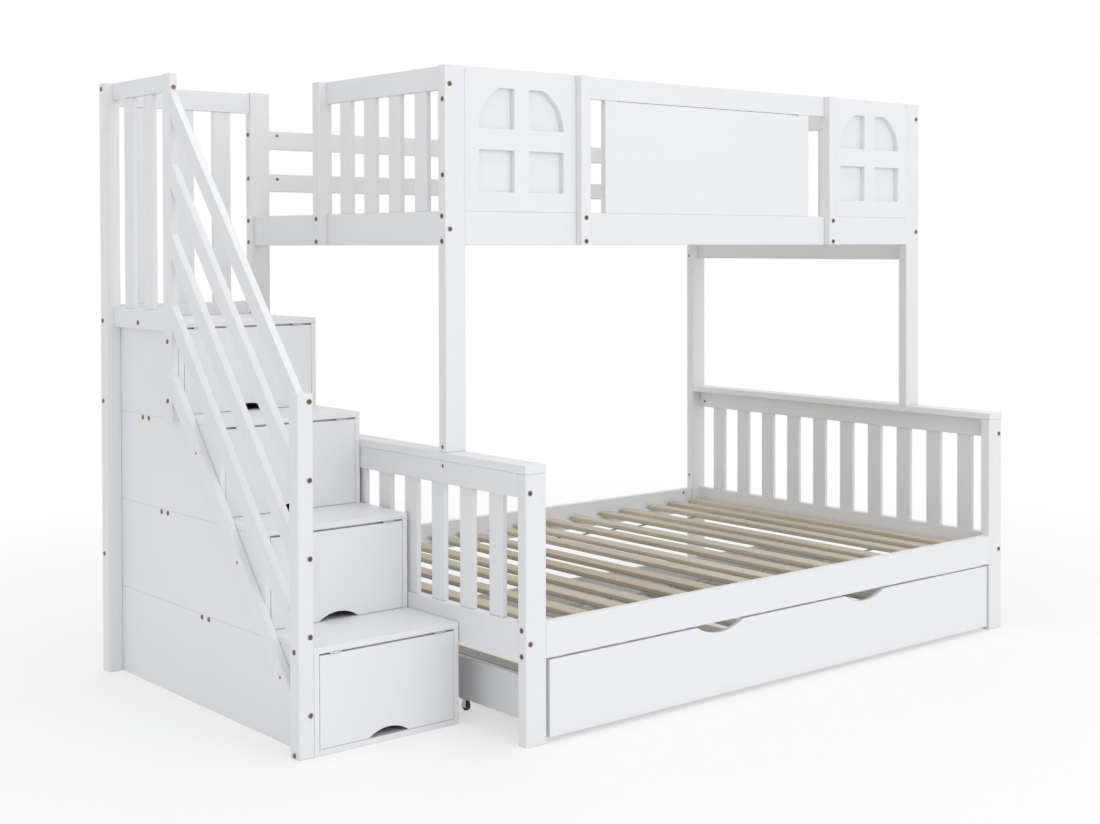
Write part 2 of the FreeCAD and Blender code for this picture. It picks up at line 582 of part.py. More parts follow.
# ---------------------------------------------------------------- trundle
# A long low frame on casters: a tall front board with two finger cut-outs, three lower
# boards behind it, and its own slats on battens.
TRUNDLE_X = "post_w + trundle_side_gap"
TRUNDLE_LEN = f"bed_length - 2 * ({TRUNDLE_X})"
GRIP_R = "((grip_w / 2) * (grip_w / 2) + grip_d * grip_d) / (2 * grip_d)"
TRUNDLE_TOP = "trundle_floor_gap + trundle_front_h"
front_block = box("trundle_block", TRUNDLE_X, "0", "trundle_floor_gap", TRUNDLE_LEN,
                  "trundle_board_t", "trundle_front_h")
grips = [rod(f"trundle_grip_{side}", f"bed_length / 2 {sign} grip_off", "0",
             f"{TRUNDLE_TOP} + {GRIP_R} - grip_d", "+Y", GRIP_R, "trundle_board_t")
         for side, sign in (("l", "-"), ("r", "+"))]
node("trundle_front", [cut("trundle_front_shape", front_block, grips)])

SIDE_X = f"{TRUNDLE_X} + trundle_side_in"
node("trundle_sides",
     both_ends("trundle_side", SIDE_X, "trundle_board_t", "trundle_side_z",
               "trundle_board_t", "trundle_depth - trundle_board_t", "trundle_side_h"))
BACK_X = f"{SIDE_X} + trundle_board_t"
BACK_LEN = f"bed_length - 2 * ({BACK_X})"
node("trundle_back",
     [box("trundle_rear", BACK_X, "trundle_depth - trundle_board_t", "trundle_side_z",
          BACK_LEN, "trundle_board_t", "trundle_side_h")])
node("trundle_ledgers",
     [box("trundle_batten_front", BACK_X, "trundle_board_t", "trundle_side_z", BACK_LEN,
          "trundle_ledger", "trundle_ledger"),
      box("trundle_batten_rear", BACK_X,
          "trundle_depth - trundle_board_t - trundle_ledger", "trundle_side_z", BACK_LEN,
          "trundle_ledger", "trundle_ledger")])
TRUNDLE_INNER = "trundle_depth - 2 * trundle_board_t - 2 * slat_end_gap"
node("trundle_slats",
     spread("trundle_slat", "trundle_slats", BACK_X, BACK_LEN, "slat_w",
            lambda name, at: box(name, at, "trundle_board_t + slat_end_gap",
                                 "trundle_side_z + trundle_ledger", "slat_w",
                                 TRUNDLE_INNER, "slat_t")))


def wheel(name, x, y):
    """One caster wheel with a running bore."""
    disc = rod(name + "_disc", x, y, "wheel_r", "+X", "wheel_r", "wheel_w")
    rim = doc.addObject("Part::Chamfer", name + "_rim")
    rim.Base = disc
    doc.recompute()
    rims = [i + 1 for i, edge in enumerate(disc.Shape.Edges)
            if isinstance(edge.Curve, Part.Circle)]
    rim.Edges = [(i, size("wheel_bevel"), size("wheel_bevel")) for i in rims]
    bore = rod(name + "_bore", x, y, "wheel_r", "+X", "axle_r + wheel_fit", "wheel_w")
    return cut(name, rim, [bore])


def fork(name, x, y):
    """A pressed caster fork with its axle: a top plate, two cheeks and the pin."""
    plate = box(name + "_plate", x, f"({y}) - fork_len / 2", "trundle_side_z - fork_plate",
                "trundle_board_t", "fork_len", "fork_plate")
    cheek_h = "trundle_side_z - wheel_r + axle_r + cheek_lap"
    cheek_z = "wheel_r - axle_r - cheek_lap"
    near = box(name + "_near", x, f"({y}) - wheel_r / 2", cheek_z, "fork_plate", "wheel_r",
               cheek_h)
    far = box(name + "_far", f"({x}) + trundle_board_t - fork_plate",
              f"({y}) - wheel_r / 2", cheek_z, "fork_plate", "wheel_r", cheek_h)
    axle = rod(name + "_axle", x, y, "wheel_r", "+X", "axle_r", "trundle_board_t")
    return fuse(name, [plate, near, far, axle])


WHEEL_IN = "(trundle_board_t - wheel_w) / 2"
FAR_SIDE_X = f"bed_length - ({SIDE_X}) - trundle_board_t"
forks = []
for place_name, y in (("front", "wheel_front_y"), ("rear", "wheel_rear_y")):
    pair = []
    for side, x in (("l", SIDE_X), ("r", FAR_SIDE_X)):
        pair.append(wheel(f"wheel_{place_name}_{side}", f"{x} + {WHEEL_IN}", y))
        forks.append(fork(f"fork_{place_name}_{side}", x, y))
    node(f"casters_{place_name}", pair)
node("caster_forks", forks)

# ---------------------------------------------------------------- stair tower: bolts
TOWER_X = "0 - tower_gap - tower_w"
TOWER_IN_X = f"{TOWER_X} + tower_side_t"
TOWER_IN_W = "tower_w - 2 * tower_side_t"
LAYER_X = f"{TOWER_X} - rail_layer"
CORNER_X = f"{TOWER_X} - corner_post"
BOXES = 4


def box_front(k):
    return f"(tower_front + tread_run * {k})"


def box_top(k):
    return f"(first_rise + rise * {k})"


def box_foot(k):
    return "0" if k == 0 else box_top(k - 1)


def box_high(k):
    return "first_rise" if k == 0 else "rise"


# Paired screws go through the left sides into the edges of the three lower top boards.
for k, inward in enumerate(("screw_in_first", "screw_in_second", "screw_in_third")):
    for pair_step in ("0", "screw_pair"):
        bolt("tower", "panel", TOWER_X, f"{box_front(k)} + {inward} + {pair_step}",
             f"{box_top(k)} - shelf_t / 2", "+X")

# The tall corner post: two long bolts, into the rear guard and the edge of the top tread,
# and two into the boxes' sides.
REAR_AXIS_Y = "bed_width - rear_rail_in - rear_rail_t / 2"
LAST_TREAD = f"{box_top(BOXES - 1)} + shelf_t"
for level in (f"{GUARD_TOP} - corner_bolt_drop", f"{LAST_TREAD} - shelf_t / 2"):
    bolt("tower", "mid", CORNER_X, REAR_AXIS_Y, level, "+X")
for level in (f"{box_top(2)} + corner_bolt_mid", f"{box_top(0)} + corner_bolt_low"):
    bolt("tower", "panel", CORNER_X, REAR_AXIS_Y, level, "+X")

# The newel: one bolt into the first box, one into the edge of its tread and one into the
# end of each slanted bar.
for level in ("newel_bolt_low", f"{box_top(0)} + newel_bolt_up"):
    bolt("tower", "panel", CORNER_X, "tower_front + corner_post / 2", level, "+X")
LAYER_MID = f"{LAYER_X} + rail_layer / 2"
for i in range(int(size("bars"))):
    bolt("tower", "mid", LAYER_MID, "tower_front", f"bar_bolt_low + bar_bolt_step * {i}",
         "+Y")

# The middle post, the side guard's foot and the stringer are screwed to the boxes' sides.
for level in (f"{box_top(3)} - mid_bolt_drop", f"{box_top(2)} + mid_bolt_up"):
    bolt("tower", "short", LAYER_X, "mid_post_y + mid_post_d / 2", level, "+X")
bolt("tower", "mid", LAYER_MID, "mid_post_y", f"{SIDE_GUARD_Z} + side_bolt_up", "+Y")
bolt("tower", "panel", LAYER_X, "mid_post_y + foot_screw_in", f"{LAST_TREAD} - shelf_t / 2",
     "+X")
RUN_START = "(tower_front + corner_post)"
for along in ("stringer_screw_low", "stringer_screw_mid", "stringer_screw_high"):
    bolt("tower", "screw", LAYER_X, f"{RUN_START} + {along}",
         f"bar_low_z + bar_h / 2 + bar_slope * {along}", "+X")

# ---------------------------------------------------------------- stair tower: boxes
DOOR_GRIP_R = ("((door_grip_w / 2) * (door_grip_w / 2) + door_grip_d * door_grip_d)"
               " / (2 * door_grip_d)")


def stair_box(k):
    """One open-fronted box: two sides, a bottom, a top set back behind the door, a back."""
    front = box_front(k)
    deep = f"bed_width - {front}"
    name = f"box{k + 1}"
    return [
        box(name + "_side_l", TOWER_X, front, box_foot(k), "tower_side_t", deep, box_high(k)),
        box(name + "_side_r", "0 - tower_gap - tower_side_t", front, box_foot(k),
            "tower_side_t", deep, box_high(k)),
        box(name + "_bottom", TOWER_IN_X, front, box_foot(k), TOWER_IN_W, deep, "shelf_t"),
        box(name + "_top", TOWER_IN_X, f"{front} + shelf_t", f"{box_top(k)} - shelf_t",
            TOWER_IN_W, f"{deep} - shelf_t", "shelf_t"),
        box(name + "_back", TOWER_IN_X, "bed_width - tower_back_t",
            f"{box_foot(k)} + shelf_t", TOWER_IN_W, "tower_back_t",
            f"{box_high(k)} - 2 * shelf_t"),
    ]


def stair_door(k):
    """An inset door with a finger cut-out at its foot, clear of the tread or box below."""
    foot = f"{box_foot(k)} + shelf_t + door_gap"
    high = f"{box_high(k)} - shelf_t - door_gap - door_top_gap"
    slab = box(f"door{k + 1}_slab", f"{TOWER_IN_X} + door_gap", box_front(k), foot,
               f"{TOWER_IN_W} - 2 * door_gap", "door_t", high)
    grip = rod(f"door{k + 1}_grip", f"{TOWER_X} + tower_w / 2", box_front(k),
               f"{foot} + door_grip_d - {DOOR_GRIP_R}", "+Y", DOOR_GRIP_R, "door_t")
    return cut(f"door{k + 1}_shape", slab, [grip])


def hinge(tag, k, x):
    """A small butt hinge under the tread: its fixed half with the pin, and its moving half."""
    front = box_front(k)
    axis_z = f"{box_top(k)} - door_top_gap / 2"
    middle_x = f"{x} + knuckle_end"
    middle_w = "hinge_w - 2 * knuckle_end"
    leaf = box(tag + "_leaf", x, front, f"{box_top(k)} - hinge_leaf_t", "hinge_w",
               "hinge_leaf_d", "hinge_leaf_t")
    relief = box(tag + "_relief", middle_x, front, f"{box_top(k)} - hinge_leaf_t", middle_w,
                 "knuckle_r + knuckle_gap", "hinge_leaf_t")
    plate = cut(tag + "_plate", leaf, [relief])
    ends = [rod(f"{tag}_end_{side}", end_x, front, axis_z, "+X", "knuckle_r", "knuckle_end")
            for side, end_x in (("l", x), ("r", f"{x} + hinge_w - knuckle_end"))]
    pin = rod(tag + "_pin", x, front, axis_z, "+X", "pin_r", "hinge_w")
    fixed = fuse(tag + "_fixed", [plate, pin] + ends)
    wing = box(tag + "_wing", f"{middle_x} + knuckle_gap", front,
               f"{box_top(k)} - door_top_gap", f"{middle_w} - 2 * knuckle_gap",
               "hinge_leaf_d", "hinge_leaf_t")
    barrel = rod(tag + "_barrel", f"{middle_x} + knuckle_gap", front, axis_z, "+X",
                 "knuckle_r", f"{middle_w} - 2 * knuckle_gap")
    bore = rod(tag + "_bore", middle_x, front, axis_z, "+X", "pin_r + pin_fit", middle_w)
    return fixed, cut(tag + "_moving", fuse(tag + "_solid", [wing, barrel]), [bore])


HINGE_XS = (f"{TOWER_IN_X} + hinge_in", "0 - tower_gap - tower_side_t - hinge_in - hinge_w")
treads = []
fixed_halves = []
for k in range(BOXES):
    node(f"stair_box_{k + 1}", stair_box(k), DRILLS["tower"])
    node(f"stair_door_{k + 1}", [stair_door(k)])
    halves = [hinge(f"hinge{k + 1}_{j + 1}", k, x) for j, x in enumerate(HINGE_XS)]
    fixed_halves += [fixed for fixed, moving in halves]
    node(f"door_leaves_{k + 1}", [moving for fixed, moving in halves])
    run = "tread_run" if k < BOXES - 1 else f"bed_width - {box_front(k)}"
    treads.append(box(f"tread_{k + 1}", TOWER_X, box_front(k), box_top(k), "tower_w", run,
                      "shelf_t"))
node("stair_treads", treads, DRILLS["tower"])
node("hinge_leaves", fixed_halves)

# ---------------------------------------------------------------- stair posts and guards
CORNER_Y = "bed_width - corner_post"
node("corner_post", [box("corner", CORNER_X, CORNER_Y, "0", "corner_post", "corner_post",
                         GUARD_TOP)], DRILLS["tower"])
node("newel_post", [box("newel", CORNER_X, "tower_front", "0", "corner_post", "corner_post",
                        "newel_h")], DRILLS["tower"])
node("middle_post", [box("middle", LAYER_X, "mid_post_y", "mid_post_z", "rail_layer",
                         "mid_post_d", f"{POST_TOP} - mid_post_z")], DRILLS["tower"])

SIDE_Y = "mid_post_y + mid_post_d"
SIDE_RUN = f"{CORNER_Y} - ({SIDE_Y})"
node("side_guard_rails",
     [box("side_top", LAYER_X, SIDE_Y, SIDE_GUARD_Z, "rail_layer", SIDE_RUN, "side_guard_h"),
      box("side_foot", LAYER_X, SIDE_Y, "side_foot_z", "rail_layer", SIDE_RUN,
          "side_foot_h")], DRILLS["tower"])
SIDE_SLAT_Z = "side_foot_z + side_foot_h"
node("side_guard_slats",
     spread("side_slat", "side_slats", SIDE_Y, SIDE_RUN, "side_slat_w",
            lambda name, at: box(name, f"{LAYER_X} + (rail_layer - side_slat_t) / 2", at,
                                 SIDE_SLAT_Z, "side_slat_t", "side_slat_w",
                                 f"{SIDE_GUARD_Z} - ({SIDE_SLAT_Z})")))

REAR_RAIL_Y = "bed_width - rear_rail_in - rear_rail_t"
REAR_RUN = "tower_gap + tower_w"
node("rear_rails_stair",
     [box("rear_top", TOWER_X, REAR_RAIL_Y, STAIR_TOP_Z, REAR_RUN, "rear_rail_t",
          "rear_top_h"),
      box("rear_foot", TOWER_X, REAR_RAIL_Y, LAST_TREAD, REAR_RUN, "rear_rail_t",
          "rear_foot_h")], DRILLS["tower"])
REAR_SLAT_Z = f"{LAST_TREAD} + rear_foot_h"
node("rear_slats_stair",
     spread("rear_slat", "rear_slats", TOWER_X, REAR_RUN, "rear_slat_w",
            lambda name, at: box(name, at,
                                 f"{REAR_RAIL_Y} + (rear_rail_t - rear_slat_t) / 2",
                                 REAR_SLAT_Z, "rear_slat_w", "rear_slat_t",
                                 f"{STAIR_TOP_Z} - ({REAR_SLAT_Z})")))


def slanted_bar(i):
    """A handrail bar: a parallelogram drawn on the side plane, as thick as its layer."""
    body = doc.addObject("PartDesign::Body", f"bar_{i + 1}")
    side_plane = [f for f in body.Origin.OriginFeatures if f.Role == "YZ_Plane"][0]
    sketch = body.newObject("Sketcher::SketchObject", f"bar_outline_{i + 1}")
    sketch.AttachmentSupport = [(side_plane, "")]
    sketch.MapMode = "FlatFace"
    run = size("mid_post_y") - size("tower_front") - size("corner_post")
    rise = run * size("bar_slope")
    high = size("bar_h")
    corners = [(0, 0), (run, rise), (run, rise + high), (0, high)]
    for j, (ax, ay) in enumerate(corners):
        bx, by = corners[(j + 1) % 4]
        sketch.addGeometry(Part.LineSegment(FreeCAD.Vector(ax, ay, 0),
                                            FreeCAD.Vector(bx, by, 0)), False)
    for j in range(4):
        sketch.addConstraint(Sketcher.Constraint("Coincident", j, 2, (j + 1) % 4, 1))
    sketch.addConstraint(Sketcher.Constraint("Coincident", 0, 1, -1, 1))
    sketch.addConstraint(Sketcher.Constraint("Vertical", 1))
    sketch.addConstraint(Sketcher.Constraint("Vertical", 3))
    sketch.addConstraint(Sketcher.Constraint("Parallel", 0, 2))
    rules = ((("DistanceX", 0, 1, 0, 2, run), "mid_post_y - tower_front - corner_post"),
             (("DistanceY", 0, 1, 0, 2, rise),
              "(mid_post_y - tower_front - corner_post) * bar_slope"),
             (("DistanceY", 3, 2, 3, 1, high), "bar_h"))
    for rule, expression in rules:
        number = sketch.addConstraint(Sketcher.Constraint(*rule))
        sketch.setExpression(f"Constraints[{number}]", cells(expression))
    pad = body.newObject("PartDesign::Pad", f"bar_pad_{i + 1}")
    pad.Profile = sketch
    pad.setExpression("Length", cells("rail_layer"))
    return place(body, LAYER_X, RUN_START, f"bar_low_z + bar_step * {i}")


bars = [slanted_bar(i) for i in range(int(size("bars")))]
node("stringer", bars[:1], DRILLS["tower"])
node("handrail_bars", bars[1:], DRILLS["tower"])

# ---------------------------------------------------------------- fasteners
node("bolts_bed", BOLTS["lower"] + BOLTS["rear"])
node("bolts_bunk", BOLTS["upper"] + BOLTS["stub"] + foot_studs("foot_stud", "bolt_r"))
node("bolts_stairs", BOLTS["tower"])
node("cross_dowels",
     dowels("low_dowel", *LOW_DOWELS) + dowels("bunk_dowel", UPPER_REAR_Y, BUNK_BOLT_Z)
     + dowels("guard_dowel", UPPER_REAR_Y, GUARD_BOLT_Z)
     + [cut(nut.Name + "_bored", nut, FOOT_HOLES) for nut in foot_nuts("foot_nut", "dowel_r")])

# ---------------------------------------------------------------- check and write
doc.recompute()
for part in doc.Objects:
    if "Invalid" in part.State or "Error" in part.State:
        raise RuntimeError(f"{part.Name} failed: {part.State}")
for part in NODES:
    if part.Shape.isNull() or not part.Shape.isValid():
        raise RuntimeError(f"{part.Label} has no valid shape")
os.makedirs("parts", exist_ok=True)
for part in NODES:
    part.Shape.exportStep(f"parts/{part.Label}.step")
    print(part.Label, len(part.Shape.Solids), round(part.Shape.Volume))
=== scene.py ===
import math
import random
import bmesh
import bpy
from mathutils import Matrix, Quaternion, Vector


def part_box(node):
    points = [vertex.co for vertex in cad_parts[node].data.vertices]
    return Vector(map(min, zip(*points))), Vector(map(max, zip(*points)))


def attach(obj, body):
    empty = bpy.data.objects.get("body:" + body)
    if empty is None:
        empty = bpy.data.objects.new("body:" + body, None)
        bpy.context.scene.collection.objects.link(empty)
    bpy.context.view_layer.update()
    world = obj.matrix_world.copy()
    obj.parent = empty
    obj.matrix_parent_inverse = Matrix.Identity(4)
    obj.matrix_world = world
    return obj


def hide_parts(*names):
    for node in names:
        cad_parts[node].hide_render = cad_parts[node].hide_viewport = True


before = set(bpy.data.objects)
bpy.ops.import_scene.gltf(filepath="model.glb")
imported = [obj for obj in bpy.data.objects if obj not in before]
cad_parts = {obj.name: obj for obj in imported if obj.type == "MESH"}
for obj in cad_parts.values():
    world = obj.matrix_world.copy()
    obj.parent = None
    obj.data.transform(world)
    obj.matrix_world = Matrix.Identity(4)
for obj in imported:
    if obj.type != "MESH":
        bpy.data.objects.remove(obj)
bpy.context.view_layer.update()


# ---------------------------------------------------------------- where the bed stands
# The bed stands on a pale studio floor that fades into white.  A wide soft lamp lights it
# from in front, weaker ones from low on the left and from above, and the eye is just above
# the level of the bunk's floor, off the corner where the stairs begin.
bpy.context.scene.view_settings.view_transform = "Standard"
PHOTO_WIDE, PHOTO_HIGH = 1100, 824
FOCAL_PIXELS = 1629.626
CENTRE_ACROSS, CENTRE_DOWN = 616.139, 274.352
FILM_WIDE = 36
EYE = Vector((-3.290544, -3.999028, 1.283448))
HEADING, TILT, LEAN = math.radians(40.917), math.radians(1.037), math.radians(-0.09)
look = Vector((math.sin(HEADING) * math.cos(TILT), math.cos(HEADING) * math.cos(TILT),
               -math.sin(TILT)))
lens = bpy.data.cameras.new("eye")
lens.sensor_width = FILM_WIDE
lens.lens = FOCAL_PIXELS * FILM_WIDE / PHOTO_WIDE
lens.shift_x = (PHOTO_WIDE / 2 - CENTRE_ACROSS) / PHOTO_WIDE
lens.shift_y = (CENTRE_DOWN - PHOTO_HIGH / 2) / PHOTO_WIDE
camera = bpy.data.objects.new("eye", lens)
bpy.context.scene.collection.objects.link(camera)
camera.rotation_mode = "QUATERNION"
camera.location = EYE
camera.rotation_quaternion = look.to_track_quat("-Z", "Y") @ Quaternion((0, 0, 1), LEAN)
bpy.context.scene.camera = camera


def node_in(tree, kind, inputs=None, **settings):
    """One shader node with its settings and the fixed or linked values of its sockets."""
    made = tree.nodes.new(kind)
    for name, value in settings.items():
        setattr(made, name, value)
    for name, value in (inputs or {}).items():
        if isinstance(value, bpy.types.NodeSocket):
            tree.links.new(value, made.inputs[name])
        else:
            made.inputs[name].default_value = value
    return made


def bare_material(name):
    """A new material and its node tree, which is still empty."""
    material = bpy.data.materials.new(name)
    material.use_nodes = True
    material.node_tree.nodes.clear()
    return material, material.node_tree


def place_on(tree):
    """Where a point of a piece lies, in metres."""
    return node_in(tree, "ShaderNodeTexCoord").outputs["Object"]


def noise(tree, at, scale, detail, **more):
    """Cloudy noise between 0 and 1; a larger scale has smaller clouds."""
    return node_in(tree, "ShaderNodeTexNoise",
                   {"Vector": at, "Scale": scale, "Detail": detail, **more}).outputs["Fac"]


def ranged(tree, value, low, high, start=0.0, end=1.0, way="LINEAR"):
    """Low where a value is at its start or less, high where it is at its end or more."""
    return node_in(tree, "ShaderNodeMapRange", {
        "Value": value, "From Min": start, "From Max": end, "To Min": low, "To Max": high},
        interpolation_type=way).outputs["Result"]


def times(tree, first, second):
    """Two values multiplied."""
    return node_in(tree, "ShaderNodeMath", {0: first, 1: second},
                   operation="MULTIPLY").outputs[0]


def seen_directly(tree):
    """1 for what the eye sees, also in metal or through glass, and 0 for what lights."""
    rays = node_in(tree, "ShaderNodeLightPath").outputs
    seen = rays["Is Camera Ray"]
    for kind in ("Is Glossy Ray", "Is Transmission Ray"):
        seen = node_in(tree, "ShaderNodeMath", {0: seen, 1: rays[kind]},
                       operation="MAXIMUM").outputs[0]
    return seen


WHITE = (1, 1, 1, 1)
FLOOR_TONE = (0.90, 0.90, 0.905, 1)
FLOOR_REACH, FADE_FROM, FADE_TO, FADE_LEAST = 14, 1.6, 4.2, 0.5
floor_material, tree = bare_material("studio_floor")
place = place_on(tree)
far = node_in(tree, "ShaderNodeVectorMath", {0: place}, operation="LENGTH").outputs["Value"]
fade = ranged(tree, far, FADE_LEAST, 1, FADE_FROM, FADE_TO, "SMOOTHSTEP")
dull = ranged(tree, noise(tree, place, 260, 4), 0.55, 0.75)
ground = node_in(tree, "ShaderNodeBsdfPrincipled", {"Base Color": FLOOR_TONE,
                                                    "Roughness": dull})
glow = node_in(tree, "ShaderNodeEmission", {"Color": WHITE, "Strength": 1})
blend = node_in(tree, "ShaderNodeMixShader", {0: times(tree, seen_directly(tree), fade),
                                              1: ground.outputs[0], 2: glow.outputs[0]})
node_in(tree, "ShaderNodeOutputMaterial", {"Surface": blend.outputs[0]})

bm = bmesh.new()
bmesh.ops.create_grid(bm, x_segments=8, y_segments=8, size=FLOOR_REACH)
floor_mesh = bpy.data.meshes.new("floor")
bm.to_mesh(floor_mesh)
bm.free()
floor = bpy.data.objects.new("floor", floor_mesh)
bpy.context.scene.collection.objects.link(floor)
floor_mesh.materials.append(floor_material)

SKY_TONE, SKY_LIGHT = (0.97, 0.985, 1, 1), 0.85
world = bpy.data.worlds.new("studio")
bpy.context.scene.world = world
world.use_nodes = True
tree = world.node_tree
tree.nodes.clear()
dim = node_in(tree, "ShaderNodeBackground", {"Color": SKY_TONE, "Strength": SKY_LIGHT})
bright = node_in(tree, "ShaderNodeBackground", {"Color": WHITE, "Strength": 1})
both = node_in(tree, "ShaderNodeMixShader", {0: seen_directly(tree), 1: dim.outputs[0],
                                             2: bright.outputs[0]})
node_in(tree, "ShaderNodeOutputWorld", {"Surface": both.outputs[0]})


def soft_lamp(name, place, aim, watts, size=4.0):
    """A square soft box that faces a point."""
    lamp = bpy.data.lights.new(name, "AREA")
    lamp.size = size
    lamp.energy = watts
    holder = bpy.data.objects.new(name, lamp)
    bpy.context.scene.collection.objects.link(holder)
    holder.location = place
    holder.rotation_mode = "QUATERNION"
    holder.rotation_quaternion = (Vector(aim) - Vector(place)).to_track_quat("-Z", "Y")


soft_lamp("lamp_front", place=(0.6, -7.5, 3.8), aim=(0, 0, 0.8), watts=84)
soft_lamp("lamp_low", place=(-3.4, -7.2, 1.6), aim=(0, 0, 0.8), watts=26)
soft_lamp("lamp_above", place=(0.2, -0.6, 6.5), aim=(0, 0, 0.5), watts=70)


# ---------------------------------------------------------------- corner posts of the bed
# Four corner posts of planed pine with eased edges, under a white satin paint that was
# sprayed on before assembly.  The two rear posts run up past the bunk; long bolts through
# them pull the rails tight.
def finish_group(name, inputs):
    """An empty shader group: its named inputs, and a colour, a roughness and a height out."""
    group = bpy.data.node_groups.new(name, "ShaderNodeTree")
    results = {"Color": "Color", "Roughness": "Float", "Height": "Float"}
    for way, sockets in (("INPUT", inputs), ("OUTPUT", results)):
        for socket, kind in sockets.items():
            group.interface.new_socket(socket, in_out=way, socket_type="NodeSocket" + kind)
    return (group, group.nodes.new("NodeGroupInput").outputs,
            group.nodes.new("NodeGroupOutput").inputs)


def own_place(tree, at, number, step):
    """A place moved on by a board's own number, so that no two boards share their grain."""
    move = node_in(tree, "ShaderNodeVectorMath", {0: step, "Scale": number}, operation="SCALE")
    return node_in(tree, "ShaderNodeVectorMath", {0: at, 1: move.outputs[0]}).outputs[0]


def laid_over(tree, base, *parts, clamp=False):
    """A base value with other values added, each times its weight."""
    for value, weight in parts:
        base = node_in(tree, "ShaderNodeMath", {0: value, 1: weight, 2: base},
                       operation="MULTIPLY_ADD").outputs[0]
    base.node.use_clamp = clamp
    return base


def tone_between(tree, share, first, second):
    """A tone that goes from one colour to another as its share goes from 0 to 1."""
    return node_in(tree, "ShaderNodeMix", {0: share, 6: first, 7: second},
                   data_type="RGBA").outputs[2]


def paint_film():
    """What the paint does over any board: a little wandering tone, the boards' own tones,
    thin film on the eased edges, the grain that telegraphs through and the spray's peel."""
    film, given, result = finish_group("paint_film", {
        "At": "Vector", "Along": "Vector", "Board": "Float", "Eased": "Float",
        "Full Coat": "Color", "Thin Coat": "Color", "Grain": "Float"})
    step = (7.3, 3.1, 5.7)
    at = own_place(film, given["At"], given["Board"], step)
    along = own_place(film, given["Along"], given["Board"], step)
    cloud = noise(film, at, 3.2, 3)
    grain = times(film, noise(film, along, 1, 5, Roughness=0.6, Distortion=0.5),
                  given["Grain"])
    peel = noise(film, at, 420, 2)
    rubbed = ranged(film, noise(film, at, 46, 5, Roughness=0.7), 0, 1, 0.46, 0.62)
    edge = times(film, given["Eased"], rubbed)
    thin = laid_over(film, 0.0, (cloud, 0.30), (given["Board"], 0.22), (grain, 0.34),
                     (edge, 0.65), clamp=True)
    film.links.new(tone_between(film, thin, given["Full Coat"], given["Thin Coat"]),
                   result["Color"])
    film.links.new(ranged(film, cloud, 0.36, 0.47, 0.3, 0.7), result["Roughness"])
    film.links.new(laid_over(film, grain, (peel, 0.16)), result["Height"])
    return film


def mark_on(tree, name):
    """The value that a piece's faces carry under a name."""
    return node_in(tree, "ShaderNodeAttribute", attribute_name=name).outputs["Fac"]


def lay_finish(tree, inputs, height=None, strength=1.0, depth=0.0, sunk=False):
    """The shader of a finish, and its relief where a height is given."""
    if height is not None:
        relief = node_in(tree, "ShaderNodeBump", {"Strength": strength, "Distance": depth,
                                                  "Height": height}, invert=sunk)
        inputs["Normal"] = relief.outputs[0]
    shader = node_in(tree, "ShaderNodeBsdfPrincipled", inputs)
    node_in(tree, "ShaderNodeOutputMaterial", {"Surface": shader.outputs[0]})


PAINT_FILM = paint_film()
GRAIN_RUNS = {"X": (0.40, 0.017, 0.017), "Y": (0.017, 0.40, 0.017), "Z": (0.017, 0.017, 0.40)}
FULL_COAT, THIN_COAT = (0.830, 0.838, 0.855, 1), (0.760, 0.757, 0.755, 1)


def painted(name, run, slope=0.0, grain=1.0):
    """White satin paint on a board whose grain runs along an axis, or up a slope."""
    material, tree = bare_material(name)
    at = place_on(tree)
    along = node_in(tree, "ShaderNodeMapping", {"Vector": at, "Rotation": (slope, 0, 0),
                                                "Scale": GRAIN_RUNS[run]},
                    vector_type="TEXTURE")
    film = node_in(tree, "ShaderNodeGroup", {
        "At": at, "Along": along.outputs[0], "Board": mark_on(tree, "board"),
        "Eased": mark_on(tree, "eased"), "Full Coat": FULL_COAT, "Thin Coat": THIN_COAT,
        "Grain": grain}, node_tree=PAINT_FILM).outputs
    lay_finish(tree, {"Base Color": film["Color"], "Roughness": film["Roughness"],
                      "IOR": 1.46}, film["Height"], 0.35, 0.00025)
    return material


PAINT_X = painted("white_paint_along_x", "X")
PAINT_Y = painted("white_paint_along_y", "Y")
PAINT_Z = painted("white_paint_along_z", "Z")


def face_mark(bm, name):
    """The value that each face of a mesh carries under a name."""
    marks = bm.faces.layers.float
    return marks.get(name) or marks.new(name)


def number_boards(bm, seed):
    """Give each loose board in a mesh a number of its own, for its tone and its grain."""
    mark = face_mark(bm, "board")
    lots = random.Random(seed)
    done = set()
    bm.faces.ensure_lookup_table()
    for first in bm.faces:
        if first in done:
            continue
        number = lots.random()
        todo = [first]
        done.add(first)
        while todo:
            face = todo.pop()
            face[mark] = number
            for edge in face.edges:
                for other in edge.link_faces:
                    if other not in done:
                        done.add(other)
                        todo.append(other)


def ease_edges(bm, edges, radius, steps=3):
    """Round a set of edges and mark the new strips as eased."""
    mark = face_mark(bm, "eased")
    made = bmesh.ops.bevel(bm, geom=edges, offset=radius, offset_type="OFFSET",
                           segments=steps, profile=0.5, affect="EDGES", material=-1,
                           clamp_overlap=True)
    for face in made["faces"]:
        face.smooth = True
        face[mark] = 1.0


SAME_POINT, SAME_FACE = 0.00002, math.radians(1)
HOLE_EDGE = 0.0025


def cad_copy(cad_node):
    """A joined-up copy of a CAD node's mesh, its flat faces whole again."""
    bm = bmesh.new()
    bm.from_mesh(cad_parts[cad_node].data)
    bmesh.ops.remove_doubles(bm, verts=bm.verts, dist=SAME_POINT)
    bmesh.ops.dissolve_limit(bm, angle_limit=SAME_FACE, verts=bm.verts, edges=bm.edges)
    for face in bm.faces:
        face.smooth = False
    return bm


